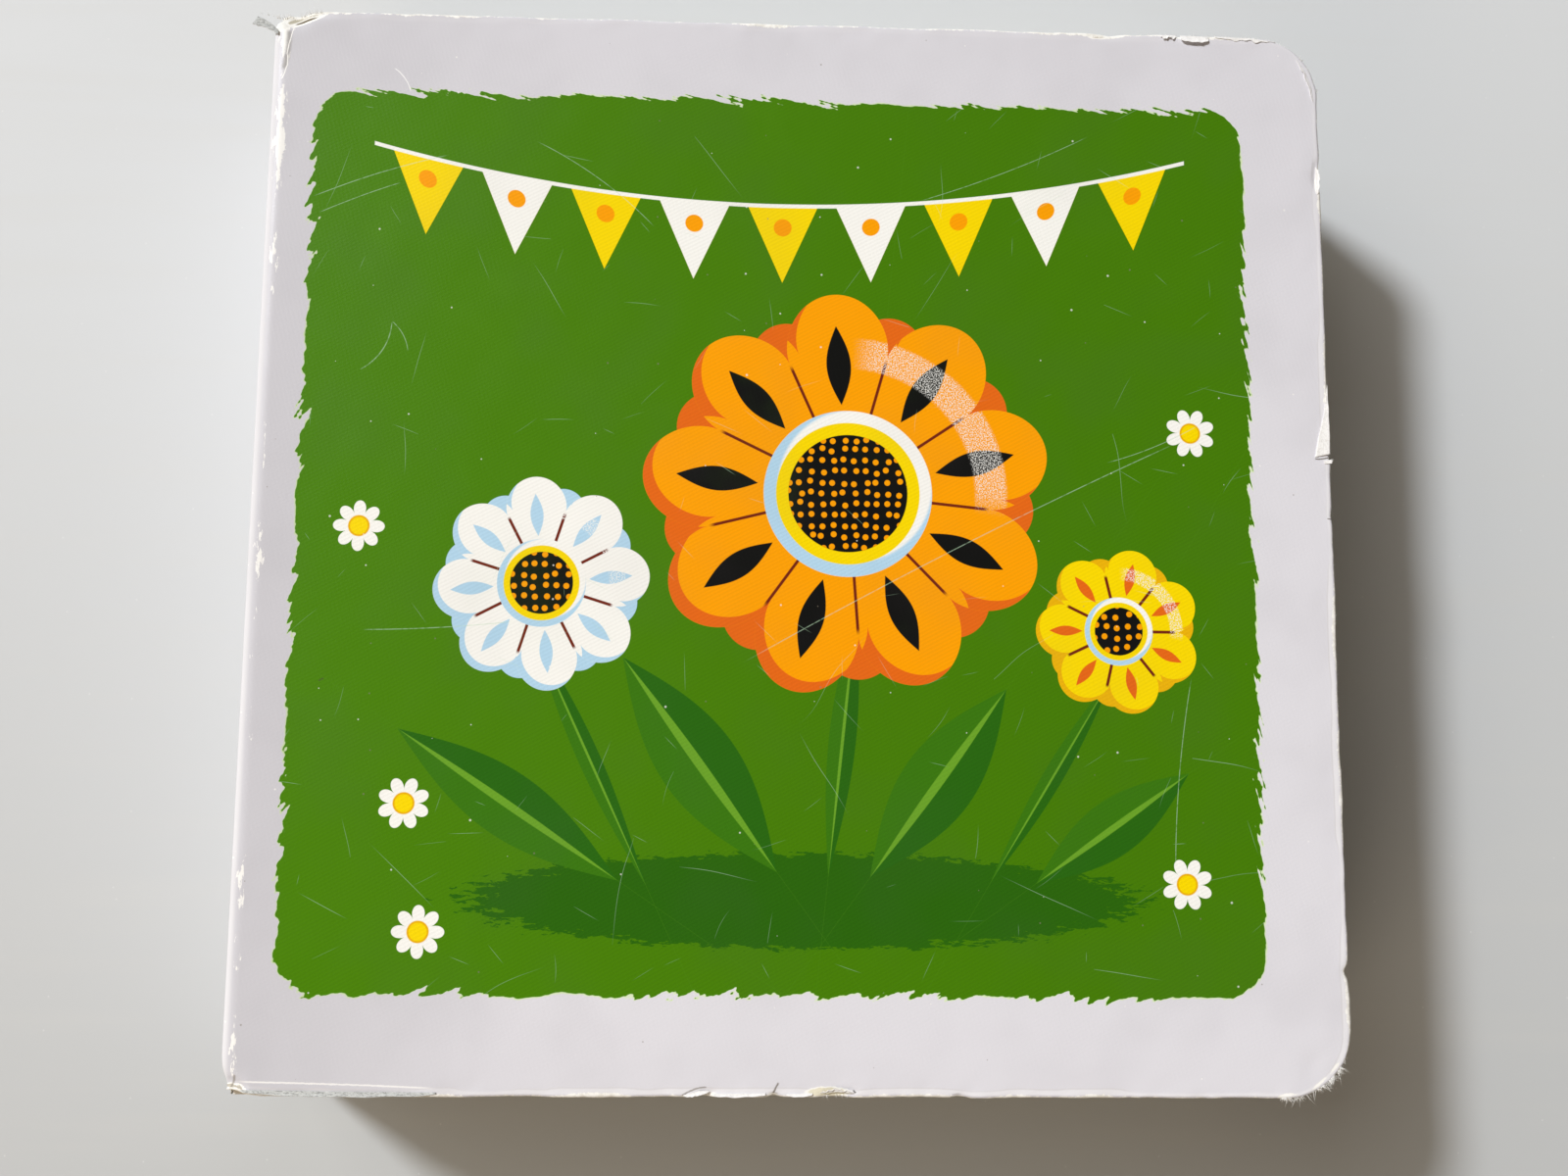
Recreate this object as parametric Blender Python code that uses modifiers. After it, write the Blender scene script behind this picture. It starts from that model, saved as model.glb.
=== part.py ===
"""A thick square board book, lying closed on its back cover.

Page sheets of stiff board are folded in half and glued back to back into one block, so
that each leaf is two half sheets. One printed board wraps round the block: front cover,
spine strip and back cover, with a rounded fold along each edge of the spine. The outer
halves of the first and last sheets are pasted into the covers. The whole book is trimmed
flush, with round corners on the fore edge.

X runs from the spine to the fore edge, Y from the tail to the head, and Z from the back
to the front. The origin is under the centre of the book, on the surface it lies on.
"""

import math
import random

import bmesh
import bpy
from mathutils import Vector

MM = 0.001

# The trimmed book
BOOK_WIDTH = 160.0 * MM  # spine face to fore edge
BOOK_HEIGHT = 160.0 * MM  # tail to head
CORNER_RADIUS = 9.5 * MM  # the corner cutter's, at the fore edge

# The cover board, with the outer half of a page sheet pasted inside it
COVER_THICKNESS = 2.0 * MM
FOLD_RUN = 2.0 * MM  # width of the outer rounding at the fold, from the spine face
COVER_EDGE_SOFTENING = 0.35 * MM  # the cutter's pressure rounds the trimmed edges

# The strip of the same board over the spine
SPINE_THICKNESS = 1.2 * MM
SPINE_SCORE_RADIUS = 0.5 * MM  # its long outer edges, next to the folds

# The block of folded sheets
LEAF_COUNT = 18
LEAF_THICKNESS = 1.68 * MM  # two half sheets glued together
LEAF_GAP = 0.25 * MM  # how far apart read leaves stand
FOLD_CROWN = 0.5 * MM  # how far each folded back bulges towards the spine

# Between pieces that touch in the real book
SEAT_GAP = 0.3 * MM

# The printed field of colour on the front cover, measured from the book's edges
FIELD_SPINE_MARGIN = 6.8 * MM
FIELD_FORE_MARGIN = 12.2 * MM
FIELD_HEAD_MARGIN = 12.6 * MM
FIELD_TAIL_MARGIN = 14.0 * MM
FIELD_CORNER_RADIUS = 6.0 * MM
FIELD_RAGGEDNESS = 0.45 * MM  # reach of the brushed edge, in and out
FIELD_TOOTH = 3.4 * MM  # spacing of its teeth
BRUSH_SEED = 7

# The picture in it: flowers on a patch of ground, under a string of flags. It is drawn in
# the largest square in the middle of the field, and its places and sizes are shares of it.
FLOWER_PLACE_SHARES = ((0.575, 0.545), (0.24, 0.44), (0.875, 0.395))
FLOWER_RADIUS_SHARES = (0.228, 0.118, 0.092)
FLOWER_PETAL_COUNTS = (9, 8, 7)
FLOWER_TURN_DEGREES = (6.0, 17.0, 52.0)
FLOWER_INKS = (("orange", "black"), ("white", "pale_blue"), ("yellow", "orange"))
PETAL_NOTCH_SHARE = 0.3  # how far in the notches between petals reach
PETAL_BLUNTNESS = 0.6  # 1 is a plain sine wave, and less is blunter
STREAK_REACH_SHARES = (0.44, 0.84)  # a petal's streak, from the flower's centre
STREAK_WIDTH_SHARE = 0.12
EYE_RADIUS_SHARES = (0.41, 0.35, 0.29)
EYE_INKS = ("white", "yellow", "black")
GROUND_PLACE_SHARES = (0.53, 0.1)
GROUND_RADIUS_SHARES = (0.36, 0.05)
STEM_SHARES = (  # tips and feet
    ((0.578, 0.305), (0.563, 0.165)),
    ((0.2655, 0.31), (0.341, 0.155)),
    ((0.84, 0.3), (0.7495, 0.155)),
)
STEM_WIDTH_SHARE = 0.026
LEAF_SHARES = (
    ((0.34, 0.35), (0.474, 0.165)),
    ((0.75, 0.33), (0.629, 0.165)),
    ((0.09, 0.28), (0.285, 0.155)),
    ((0.95, 0.24), (0.81, 0.15)),
)
LEAF_WIDTH_SHARE = 0.075
DAISY_PLACE_SHARES = ((0.1, 0.2), (0.12, 0.065), (0.945, 0.12), (0.04, 0.5), (0.96, 0.62))
DAISY_RADIUS_SHARES = (0.026, 0.01)
FLAG_COUNT = 9
FLAG_LINE_SHARES = (0.05, 0.95)  # where the string of flags begins and ends
FLAG_TOP_SHARE = 0.935
FLAG_SAG_SHARE = 0.06
FLAG_DROP_SHARE = 0.09
FLAG_WIDTH_SHARE = 0.8  # of the spacing

# Cuts run past the work by this much
OVERRUN = 4.0 * MM

CORNER_STEPS = 10
FOLD_STEPS = 8
CROWN_STEPS = 6
SLOT_STEPS = 3
SOFTENING_STEPS = 4
PETAL_STEPS = 8

# Faces that turn less than this from one to the next are one round surface.
SHARPEST_ROUND = math.radians(25)
SQUARE_TO_AXIS = 0.9999

LEAF_PITCH = LEAF_THICKNESS + LEAF_GAP
BLOCK_THICKNESS = LEAF_COUNT * LEAF_THICKNESS + (LEAF_COUNT - 1) * LEAF_GAP
BLOCK_BOTTOM = COVER_THICKNESS + SEAT_GAP
BLOCK_TOP = BLOCK_BOTTOM + BLOCK_THICKNESS
BOOK_THICKNESS = BLOCK_TOP + SEAT_GAP + COVER_THICKNESS

SPINE_FACE = -BOOK_WIDTH / 2
FORE_EDGE = BOOK_WIDTH / 2
BLOCK_BACK = SPINE_FACE + SPINE_THICKNESS + SEAT_GAP

# Each cover turns about the centre of its folded edge.
KNUCKLE_RADIUS = COVER_THICKNESS / 2
HINGE_X = SPINE_FACE + KNUCKLE_RADIUS
FRONT_HINGE_Z = BOOK_THICKNESS - KNUCKLE_RADIUS
BACK_HINGE_Z = KNUCKLE_RADIUS


def empty_scene():
    for obj in list(bpy.data.objects):
        bpy.data.objects.remove(obj)


def collection(name):
    made = bpy.data.collections.new(name)
    bpy.context.scene.collection.children.link(made)
    return made


def linear(channel):
    """One channel of a screen colour, 0 to 255, as the linear value a shader takes."""
    share = channel / 255
    return share / 12.92 if share <= 0.04045 else ((share + 0.055) / 1.055) ** 2.4


def material(name, screen_colour, roughness):
    made = bpy.data.materials.new(name)
    made.use_nodes = True
    shader = made.node_tree.nodes["Principled BSDF"]
    colour = [linear(channel) for channel in screen_colour] + [1.0]
    shader.inputs["Base Color"].default_value = colour
    shader.inputs["Roughness"].default_value = roughness
    shader.inputs["Metallic"].default_value = 0.0
    made.diffuse_color = colour
    return made


def arc(centre, radii, start, end, steps):
    """Points on an ellipse from the start angle to the end angle, in degrees, both included."""
    angles = [math.radians(start + (end - start) * i / steps) for i in range(steps + 1)]
    return [
        (centre[0] + radii[0] * math.cos(a), centre[1] + radii[1] * math.sin(a))
        for a in angles
    ]


def shade(mesh):
    """Round faces are shaded smooth up to their sharp edges, and faces square to the axes flat."""
    mesh.set_sharp_from_angle(angle=SHARPEST_ROUND)
    for polygon in mesh.polygons:
        polygon.use_smooth = max(abs(part) for part in polygon.normal) < SQUARE_TO_AXIS


def prism(name, outline, depth, upright=False):
    """A closed outline given half its depth to either side, as a mesh with its caps welded.

    An upright prism has its outline in X and Z and its depth along Y.
    """
    curve = bpy.data.curves.new(name, "CURVE")
    curve.dimensions = "2D"
    curve.fill_mode = "BOTH"
    curve.extrude = depth / 2
    spline = curve.splines.new("POLY")
    spline.points.add(len(outline) - 1)
    for point, (u, v) in zip(spline.points, outline):
        point.co = (u, v, 0.0, 1.0)
    spline.use_cyclic_u = True
    drawn = bpy.data.objects.new(name, curve)
    bpy.context.scene.collection.objects.link(drawn)
    if upright:
        drawn.rotation_euler.x = math.pi / 2
    bpy.context.view_layer.update()
    graph = bpy.context.evaluated_depsgraph_get()
    mesh = bpy.data.meshes.new_from_object(drawn.evaluated_get(graph))
    mesh.transform(drawn.matrix_world)
    bpy.data.objects.remove(drawn)
    bpy.data.curves.remove(curve)
    work = bmesh.new()
    work.from_mesh(mesh)
    bmesh.ops.remove_doubles(work, verts=work.verts, dist=MM / 1000)
    bmesh.ops.dissolve_limit(
        work, angle_limit=math.radians(0.1), verts=work.verts, edges=work.edges
    )
    bmesh.ops.recalc_face_normals(work, faces=work.faces)
    work.to_mesh(mesh)
    work.free()
    mesh.name = name
    shade(mesh)
    return mesh


def place(name, mesh, origin, finish, group, parent=None):
    """An object for a mesh that was drawn about its own origin."""
    made = bpy.data.objects.new(name, mesh)
    group.objects.link(made)
    made.location = origin
    made.parent = parent
    if not mesh.materials:
        mesh.materials.append(finish)
    return made


def cutter(name, mesh, origin, group, finish):
    made = place(name, mesh, origin, finish, group)
    made.hide_render = True
    made.display_type = "WIRE"
    return made


def keep_inside(obj, tool):
    """Trims obj to what lies inside the cutter."""
    cut = obj.modifiers.new("trim", "BOOLEAN")
    cut.operation = "INTERSECT"
    cut.solver = "EXACT"
    cut.object = tool


def trimmed_outline(spine_side):
    """The book seen from above, with round corners at the fore edge only."""
    half = BOOK_HEIGHT / 2
    turn = FORE_EDGE - CORNER_RADIUS
    radii = (CORNER_RADIUS, CORNER_RADIUS)
    tail = arc((turn, CORNER_RADIUS - half), radii, -90, 0, CORNER_STEPS)
    head = arc((turn, half - CORNER_RADIUS), radii, 0, 90, CORNER_STEPS)
    return [(spine_side, half), (spine_side, -half)] + tail + head


def field_corners():
    """The printed field's lower corner at the tail of the spine side, and its opposite one."""
    half = BOOK_HEIGHT / 2
    low = Vector((SPINE_FACE + FIELD_SPINE_MARGIN, FIELD_TAIL_MARGIN - half))
    return low, Vector((FORE_EDGE - FIELD_FORE_MARGIN, half - FIELD_HEAD_MARGIN))


def field_outline():
    """The printed field: a rounded square whose edge was brushed, so it runs in small teeth."""
    low, high = field_corners()
    radius = FIELD_CORNER_RADIUS
    corners = (
        ((high.x - radius, low.y + radius), -90),
        ((high.x - radius, high.y - radius), 0),
        ((low.x + radius, high.y - radius), 90),
        ((low.x + radius, low.y + radius), 180),
    )
    smooth = []
    for centre, start in corners:
        smooth += arc(centre, (radius, radius), start, start + 90, CORNER_STEPS)
    chance = random.Random(BRUSH_SEED)
    middle = (low + high) / 2
    ragged = []
    for here, there in zip(smooth, smooth[1:] + smooth[:1]):
        here, there = Vector(here), Vector(there)
        teeth = max(1, round((there - here).length / FIELD_TOOTH))
        for i in range(teeth):
            point = here.lerp(there, i / teeth)
            outward = (point - middle).normalized()
            ragged.append(point + outward * chance.uniform(-1, 1) * FIELD_RAGGEDNESS)
    return [tuple(point) for point in ragged]


def picture_side():
    low, high = field_corners()
    return min(high - low)


def in_picture(shares):
    """A place in the picture, from shares of its side, counted from its lower left corner."""
    low, high = field_corners()
    middle = (low + high) / 2
    return middle + (Vector(shares) - Vector((0.5, 0.5))) * picture_side()


def flower_outline(centre, radius, petals, turned):
    """Rounded petals: the radius swings with the sine of the angle between one notch and the next."""
    points = []
    steps = petals * PETAL_STEPS
    for i in range(steps):
        turn = i / steps
        swell = abs(math.sin(math.pi * petals * turn)) ** PETAL_BLUNTNESS
        reach = radius * (1 - PETAL_NOTCH_SHARE * (1 - swell))
        angle = math.tau * turn - turned
        points.append((centre.x + reach * math.cos(angle), centre.y + reach * math.sin(angle)))
    return points


def lens_outline(start, end, width):
    """A leaf or streak: half a sine wave to either side of the line from start to end."""
    along = end - start
    across = Vector((-along.y, along.x)).normalized() * width / 2
    points = []
    for i in range(2 * PETAL_STEPS):
        share = 1 - abs(1 - i / PETAL_STEPS)
        side = 1 if i < PETAL_STEPS else -1
        swell = math.sin(math.pi * share)
        points.append(tuple(start.lerp(end, share) + across * side * swell))
    return points


def disc_outline(centre, radii):
    return arc(centre, radii, 0, 360, 4 * PETAL_STEPS)[:-1]


def flower_shape(place, radius_share, petals, degrees, inks):
    """A flower with what is printed on it, as (outline, finish, shapes inside)."""
    centre = in_picture(place)
    radius = radius_share * picture_side()
    turned = math.radians(degrees)
    petal_ink, streak_ink = inks
    inside = []
    for share, ink in zip(reversed(EYE_RADIUS_SHARES), reversed(EYE_INKS)):
        inside = [(disc_outline(centre, (radius * share,) * 2), ink, inside)]
    for i in range(petals):
        angle = math.tau * (i + 0.5) / petals - turned
        outward = Vector((math.cos(angle), math.sin(angle)))
        ends = [centre + outward * radius * share for share in STREAK_REACH_SHARES]
        inside.append((lens_outline(*ends, radius * STREAK_WIDTH_SHARE), streak_ink, []))
    return (flower_outline(centre, radius, petals, turned), petal_ink, inside)


def daisy_shapes():
    outer, inner = (share * picture_side() for share in DAISY_RADIUS_SHARES)
    shapes = []
    for place in DAISY_PLACE_SHARES:
        centre = in_picture(place)
        middle = (disc_outline(centre, (inner, inner)), "yellow", [])
        shapes.append((disc_outline(centre, (outer, outer)), "white", [middle]))
    return shapes


def flag_shapes():
    """A string of three-cornered flags, white and yellow in turn, sagging as a parabola."""
    first, last = FLAG_LINE_SHARES
    spacing = (last - first) / FLAG_COUNT
    shapes = []
    for i in range(FLAG_COUNT):
        middle = first + spacing * (i + 0.5)
        ends = [middle + sign * spacing * FLAG_WIDTH_SHARE / 2 for sign in (-1, 1)]
        across = [2 * (share - first) / (last - first) - 1 for share in ends + [middle]]
        tops = [FLAG_TOP_SHARE - FLAG_SAG_SHARE * (1 - u * u) for u in across]
        corners = [
            in_picture((ends[0], tops[0])),
            in_picture((middle, tops[2] - FLAG_DROP_SHARE)),
            in_picture((ends[1], tops[1])),
        ]
        finish = "white" if i % 2 else "yellow"
        shapes.append(([tuple(corner) for corner in corners], finish, []))
    return shapes


def printed_shapes():
    """Everything printed on the front cover, as (outline, finish, shapes inside)."""
    side = picture_side()
    radii = [share * side for share in GROUND_RADIUS_SHARES]
    ground = (disc_outline(in_picture(GROUND_PLACE_SHARES), radii), "dark_green", [])
    blades = [(ends, STEM_WIDTH_SHARE) for ends in STEM_SHARES]
    blades += [(ends, LEAF_WIDTH_SHARE) for ends in LEAF_SHARES]
    plants = [
        (lens_outline(*map(in_picture, ends), width * side), "dark_green", [])
        for ends, width in blades
    ]
    flowers = [
        flower_shape(*flower)
        for flower in zip(
            FLOWER_PLACE_SHARES,
            FLOWER_RADIUS_SHARES,
            FLOWER_PETAL_COUNTS,
            FLOWER_TURN_DEGREES,
            FLOWER_INKS,
        )
    ]
    shapes = [ground] + flowers + plants + daisy_shapes() + flag_shapes()
    return (field_outline(), "green", shapes)


def soft_plate(name, outline):
    """A cover board's blank: a plate of the outline with its upper and lower rims rounded."""
    mesh = prism(name, outline, COVER_THICKNESS)
    work = bmesh.new()
    work.from_mesh(mesh)
    half = COVER_THICKNESS / 2
    rims = [
        edge
        for edge in work.edges
        if abs(edge.verts[0].co.z + edge.verts[1].co.z) > half
    ]
    bmesh.ops.bevel(
        work,
        geom=rims,
        offset=COVER_EDGE_SOFTENING,
        segments=SOFTENING_STEPS,
        profile=0.5,
        affect="EDGES",
    )
    work.to_mesh(mesh)
    work.free()
    shade(mesh)
    return mesh


def fill_shape(work, rim, shape, slots, height):
    """Fills the space between a rim and the shapes drawn inside it, then those in turn."""
    outline, finish, inside = shape
    edges = list(rim)
    rims = []
    for drawn in inside:
        corners = [work.verts.new((u, v, height)) for u, v in drawn[0]]
        rims.append([work.edges.new(pair) for pair in zip(corners, corners[1:] + corners[:1])])
        edges += rims[-1]
    made = bmesh.ops.triangle_fill(work, edges=edges, use_beauty=True, normal=(0, 0, 1))
    for item in made["geom"]:
        if isinstance(item, bmesh.types.BMFace):
            item.material_index = slots.index(finish)
    for drawn, edges in zip(inside, rims):
        fill_shape(work, edges, drawn, slots, height)


def print_on(mesh, shapes, finishes):
    """Redraws the flat top of a plate with the printed shapes as faces of their own finishes."""
    slots = list(finishes)
    for finish in finishes.values():
        mesh.materials.append(finish)
    work = bmesh.new()
    work.from_mesh(mesh)
    top = max(work.faces, key=lambda face: face.calc_center_median().z)
    height = top.verts[0].co.z
    rim = list(top.edges)
    bmesh.ops.delete(work, geom=[top], context="FACES_ONLY")
    fill_shape(work, rim, (None, slots[0], shapes), slots, height)
    bmesh.ops.recalc_face_normals(work, faces=work.faces)
    work.to_mesh(mesh)
    work.free()
    shade(mesh)


def fold_section(side):
    """What the fold leaves of a cover seen from the tail, about its hinge.

    The side is 1 in front and -1 behind. The spine end is a knuckle under an outer rounding
    that runs further. The section stands past the plate's faces elsewhere, so that only the
    fold is cut.
    """
    half = KNUCKLE_RADIUS
    far = BOOK_WIDTH + OVERRUN
    rounding = arc((FOLD_RUN - half, 0.0), (FOLD_RUN, half), 90, 180, FOLD_STEPS)
    knuckle = arc((0.0, 0.0), (half, half), 180, 270, FOLD_STEPS)
    above = (rounding[0][0], half + OVERRUN)
    below = (knuckle[-1][0], -half - OVERRUN)
    outline = [(far, above[1]), above] + rounding + knuckle[1:] + [below, (far, below[1])]
    return [(u, v * side) for u, v in outline]


def moved(shape, shift):
    outline, finish, inside = shape
    return (
        [(u + shift, v) for u, v in outline],
        finish,
        [moved(drawn, shift) for drawn in inside],
    )


def cover(name, side, hinge_z, finish, cutters, group, book):
    """A cover board, its origin on its hinge at the fold."""
    hinge = Vector((HINGE_X, 0.0, hinge_z))
    outline = [(u - hinge.x, v) for u, v in trimmed_outline(SPINE_FACE - OVERRUN)]
    made = place(name, soft_plate(name, outline), hinge, finish, group, book)
    depth = BOOK_HEIGHT + 2 * OVERRUN
    section = prism(name + "_fold", fold_section(side), depth, upright=True)
    keep_inside(made, cutter(name + "_fold", section, hinge, cutters, finish))
    return made


def spine_strip(finish, group, book):
    """The strip of board between the two folds, its long outer edges rounded by the scores."""
    low, high = BLOCK_BOTTOM, BLOCK_TOP
    bpy.ops.mesh.primitive_cube_add(size=1)
    made = bpy.context.object
    made.name = made.data.name = "spine"
    made.scale = (SPINE_THICKNESS, BOOK_HEIGHT, high - low)
    bpy.ops.object.transform_apply(location=False, rotation=False, scale=True)
    made.location = (SPINE_FACE + SPINE_THICKNESS / 2, 0.0, (low + high) / 2)
    made.data.materials.append(finish)
    made.users_collection[0].objects.unlink(made)
    group.objects.link(made)
    made.parent = book
    weights = made.data.attributes.new("bevel_weight_edge", "FLOAT", "EDGE")
    for edge in made.data.edges:
        ends = [made.data.vertices[i].co for i in edge.vertices]
        along = abs(ends[0].y - ends[1].y) > BOOK_HEIGHT / 2
        outer = ends[0].x < 0
        weights.data[edge.index].value = 1.0 if along and outer else 0.0
    bevel = made.modifiers.new("scores", "BEVEL")
    bevel.width = SPINE_SCORE_RADIUS
    bevel.segments = FOLD_STEPS
    bevel.limit_method = "WEIGHT"
    return made


def folded_back(low, high, start=0.0, end=1.0):
    """Points down one folded sheet's back, from its upper glue line to its lower one.

    The back bulges by FOLD_CROWN as a circle's arc. Start and end pick part of the fold.
    """
    pitch = high - low
    radius = (pitch**2 / 4 + FOLD_CROWN**2) / (2 * FOLD_CROWN)
    centre_x = BLOCK_BACK + radius
    centre_z = (low + high) / 2
    points = []
    for i in range(CROWN_STEPS + 1):
        share = start + (end - start) * i / CROWN_STEPS
        z = high - pitch * share
        points.append((centre_x - math.sqrt(radius**2 - (z - centre_z) ** 2), z))
    return points


def block_section():
    """The glued sheets seen from the tail: leaves parted by slots, and folded backs at the spine."""
    far = FORE_EDGE + OVERRUN
    slot_end = BLOCK_BACK + LEAF_THICKNESS / 2 + LEAF_GAP / 2
    tops = [BLOCK_TOP - i * LEAF_PITCH for i in range(LEAF_COUNT)]
    glue = [top - LEAF_THICKNESS / 2 for top in tops]
    outline = []
    first_low, last_high = glue[0], glue[-1]
    outline += folded_back(first_low, first_low + LEAF_PITCH, start=0.5)
    for upper, lower in zip(glue, glue[1:]):
        outline += folded_back(lower, upper)[1:]
    outline += folded_back(last_high - LEAF_PITCH, last_high, end=0.5)[1:]
    outline[0] = (outline[0][0], BLOCK_TOP)
    outline[-1] = (outline[-1][0], BLOCK_BOTTOM)
    outline.append((far, BLOCK_BOTTOM))
    for top in reversed(tops[1:]):
        middle = top + LEAF_GAP / 2
        outline.append((far, top))
        outline += arc((slot_end, middle), (LEAF_GAP / 2,) * 2, 270, 90, SLOT_STEPS)
        outline.append((far, top + LEAF_GAP))
    outline.append((far, BLOCK_TOP))
    return outline


def page_block(finish, cutters, group, book):
    """All the leaves, glued at the spine into one solid and trimmed flush."""
    depth = BOOK_HEIGHT + 2 * OVERRUN
    mesh = prism("page_block", block_section(), depth, upright=True)
    made = place("page_block", mesh, (0.0, 0.0, 0.0), finish, group, book)
    die = prism("trimming_die", trimmed_outline(SPINE_FACE), BOOK_THICKNESS + 2 * OVERRUN)
    keep_inside(
        made, cutter("trimming_die", die, (0.0, 0.0, BOOK_THICKNESS / 2), cutters, finish)
    )
    return made


def build():
    empty_scene()
    parts = collection("board_book")
    cutters = collection("cutters")
    cover_board = material("laminated_cover_board", (217, 214, 219), 0.38)
    page_board = material("page_board", (226, 222, 212), 0.55)
    inks = {
        "green": (76, 127, 8),
        "dark_green": (40, 92, 14),
        "orange": (236, 140, 16),
        "yellow": (240, 206, 30),
        "white": (236, 236, 230),
        "black": (24, 20, 18),
        "pale_blue": (178, 214, 238),
    }
    finishes = {"board": cover_board}
    for ink, colour in inks.items():
        finishes[ink] = material("printed_" + ink, colour, 0.38)
    book = bpy.data.objects.new("book", None)
    parts.objects.link(book)
    front = cover("front_cover", 1, FRONT_HINGE_Z, cover_board, cutters, parts, book)
    front.data.materials.clear()
    print_on(front.data, [moved(printed_shapes(), -HINGE_X)], finishes)
    cover("back_cover", -1, BACK_HINGE_Z, cover_board, cutters, parts, book)
    spine_strip(cover_board, parts, book)
    page_block(page_board, cutters, parts, book)


build()
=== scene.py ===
import inspect
import math

import bpy
import numpy as np
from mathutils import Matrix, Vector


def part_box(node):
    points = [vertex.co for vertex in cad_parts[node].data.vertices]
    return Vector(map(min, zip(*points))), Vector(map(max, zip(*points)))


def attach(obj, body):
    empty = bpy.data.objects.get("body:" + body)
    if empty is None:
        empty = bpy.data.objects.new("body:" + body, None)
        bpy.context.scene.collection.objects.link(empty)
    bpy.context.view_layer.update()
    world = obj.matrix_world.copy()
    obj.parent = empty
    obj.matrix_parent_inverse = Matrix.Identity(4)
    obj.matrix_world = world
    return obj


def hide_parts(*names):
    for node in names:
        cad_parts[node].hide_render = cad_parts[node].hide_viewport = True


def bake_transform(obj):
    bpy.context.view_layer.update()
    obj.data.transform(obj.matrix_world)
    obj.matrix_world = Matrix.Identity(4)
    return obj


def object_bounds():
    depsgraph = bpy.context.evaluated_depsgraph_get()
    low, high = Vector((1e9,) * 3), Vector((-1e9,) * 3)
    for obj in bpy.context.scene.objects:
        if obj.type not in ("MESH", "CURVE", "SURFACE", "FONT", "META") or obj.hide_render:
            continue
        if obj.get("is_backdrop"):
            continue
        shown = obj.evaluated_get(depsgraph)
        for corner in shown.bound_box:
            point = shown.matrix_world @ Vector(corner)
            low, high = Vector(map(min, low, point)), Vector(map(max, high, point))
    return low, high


# A thick square board book, worn by small hands, lying closed on its back cover.
# X runs from the spine to the fore edge, Y from the tail to the head, and Z upwards.
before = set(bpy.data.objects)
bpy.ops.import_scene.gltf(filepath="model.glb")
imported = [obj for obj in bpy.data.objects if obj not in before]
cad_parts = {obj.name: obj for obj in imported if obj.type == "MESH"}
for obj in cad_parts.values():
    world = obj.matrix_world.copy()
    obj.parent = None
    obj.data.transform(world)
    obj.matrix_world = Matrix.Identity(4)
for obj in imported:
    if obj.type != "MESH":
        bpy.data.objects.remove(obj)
cad_low, cad_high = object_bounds()


# The camera
# A telephone held over the middle of the book, a little towards its tail and its spine. Its
# place and turn were worked out from the corners of the cover.
MM = 0.001
CAMERA_OVER_COVER = (-12.8, -42.5, 248.0)  # mm from the middle of the cover's face
CAMERA_TURN = (7.99, -2.55, 0.48)  # degrees about X, Y and Z
CAMERA_LENS = 39.3  # mm, on a sensor 36 mm wide

middle = (cad_low + cad_high) / 2
eye = bpy.data.objects.new("camera", bpy.data.cameras.new("camera"))
eye.data.lens = CAMERA_LENS
eye.data.clip_start = 1 * MM
eye.location = [
    middle.x + CAMERA_OVER_COVER[0] * MM,
    middle.y + CAMERA_OVER_COVER[1] * MM,
    cad_high.z + CAMERA_OVER_COVER[2] * MM,
]
eye.rotation_euler = [math.radians(turn) for turn in CAMERA_TURN]
bpy.context.scene.collection.objects.link(eye)
bpy.context.scene.camera = eye
bpy.context.scene.view_settings.view_transform = "Standard"


# The daylight
# A window at the upper left gives a hard core of shadow and a wide soft one round it. The
# rest of the room is dim and warm, with some light from the reader's side.
LIGHT_RUN = (0.81, -0.61, -1.0)  # how far light travels sideways as it falls by one
WINDOW_LIGHTS = (  # name, width in degrees, strength and colour
    ("window", 8.5, 2.75, (1.0, 1.03, 1.07)),
    ("wide_sky", 44, 0.88, (1.0, 0.96, 0.88)),
)
ROOM_COLOUR = (1.0, 0.81, 0.6)
ROOM_STRENGTH = 0.13
SEEN_BACKGROUND = 0.55  # where the room itself is seen or mirrored, 1 is white
READER_LIGHT_PLACE = (-0.32, -0.5, 0.38)
READER_LIGHT_SIZE = 0.35
READER_LIGHT_POWER = 1.15  # watts


def aim(lamp, direction):
    """Turns a lamp, which shines down its own -Z, to shine along a direction."""
    lamp.rotation_euler = Vector(direction).to_track_quat("-Z", "Y").to_euler()


for name, width, strength, tint in WINDOW_LIGHTS:
    lamp = bpy.data.objects.new(name, bpy.data.lights.new(name, "SUN"))
    lamp.data.angle = math.radians(width)
    lamp.data.energy = strength
    lamp.data.color = tint
    aim(lamp, LIGHT_RUN)
    bpy.context.scene.collection.objects.link(lamp)

reader = bpy.data.objects.new("reader_light", bpy.data.lights.new("reader_light", "AREA"))
reader.data.size = READER_LIGHT_SIZE
reader.data.energy = READER_LIGHT_POWER
reader.data.color = ROOM_COLOUR
reader.location = READER_LIGHT_PLACE
aim(reader, Vector(READER_LIGHT_PLACE) * -1)
bpy.context.scene.collection.objects.link(reader)

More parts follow.
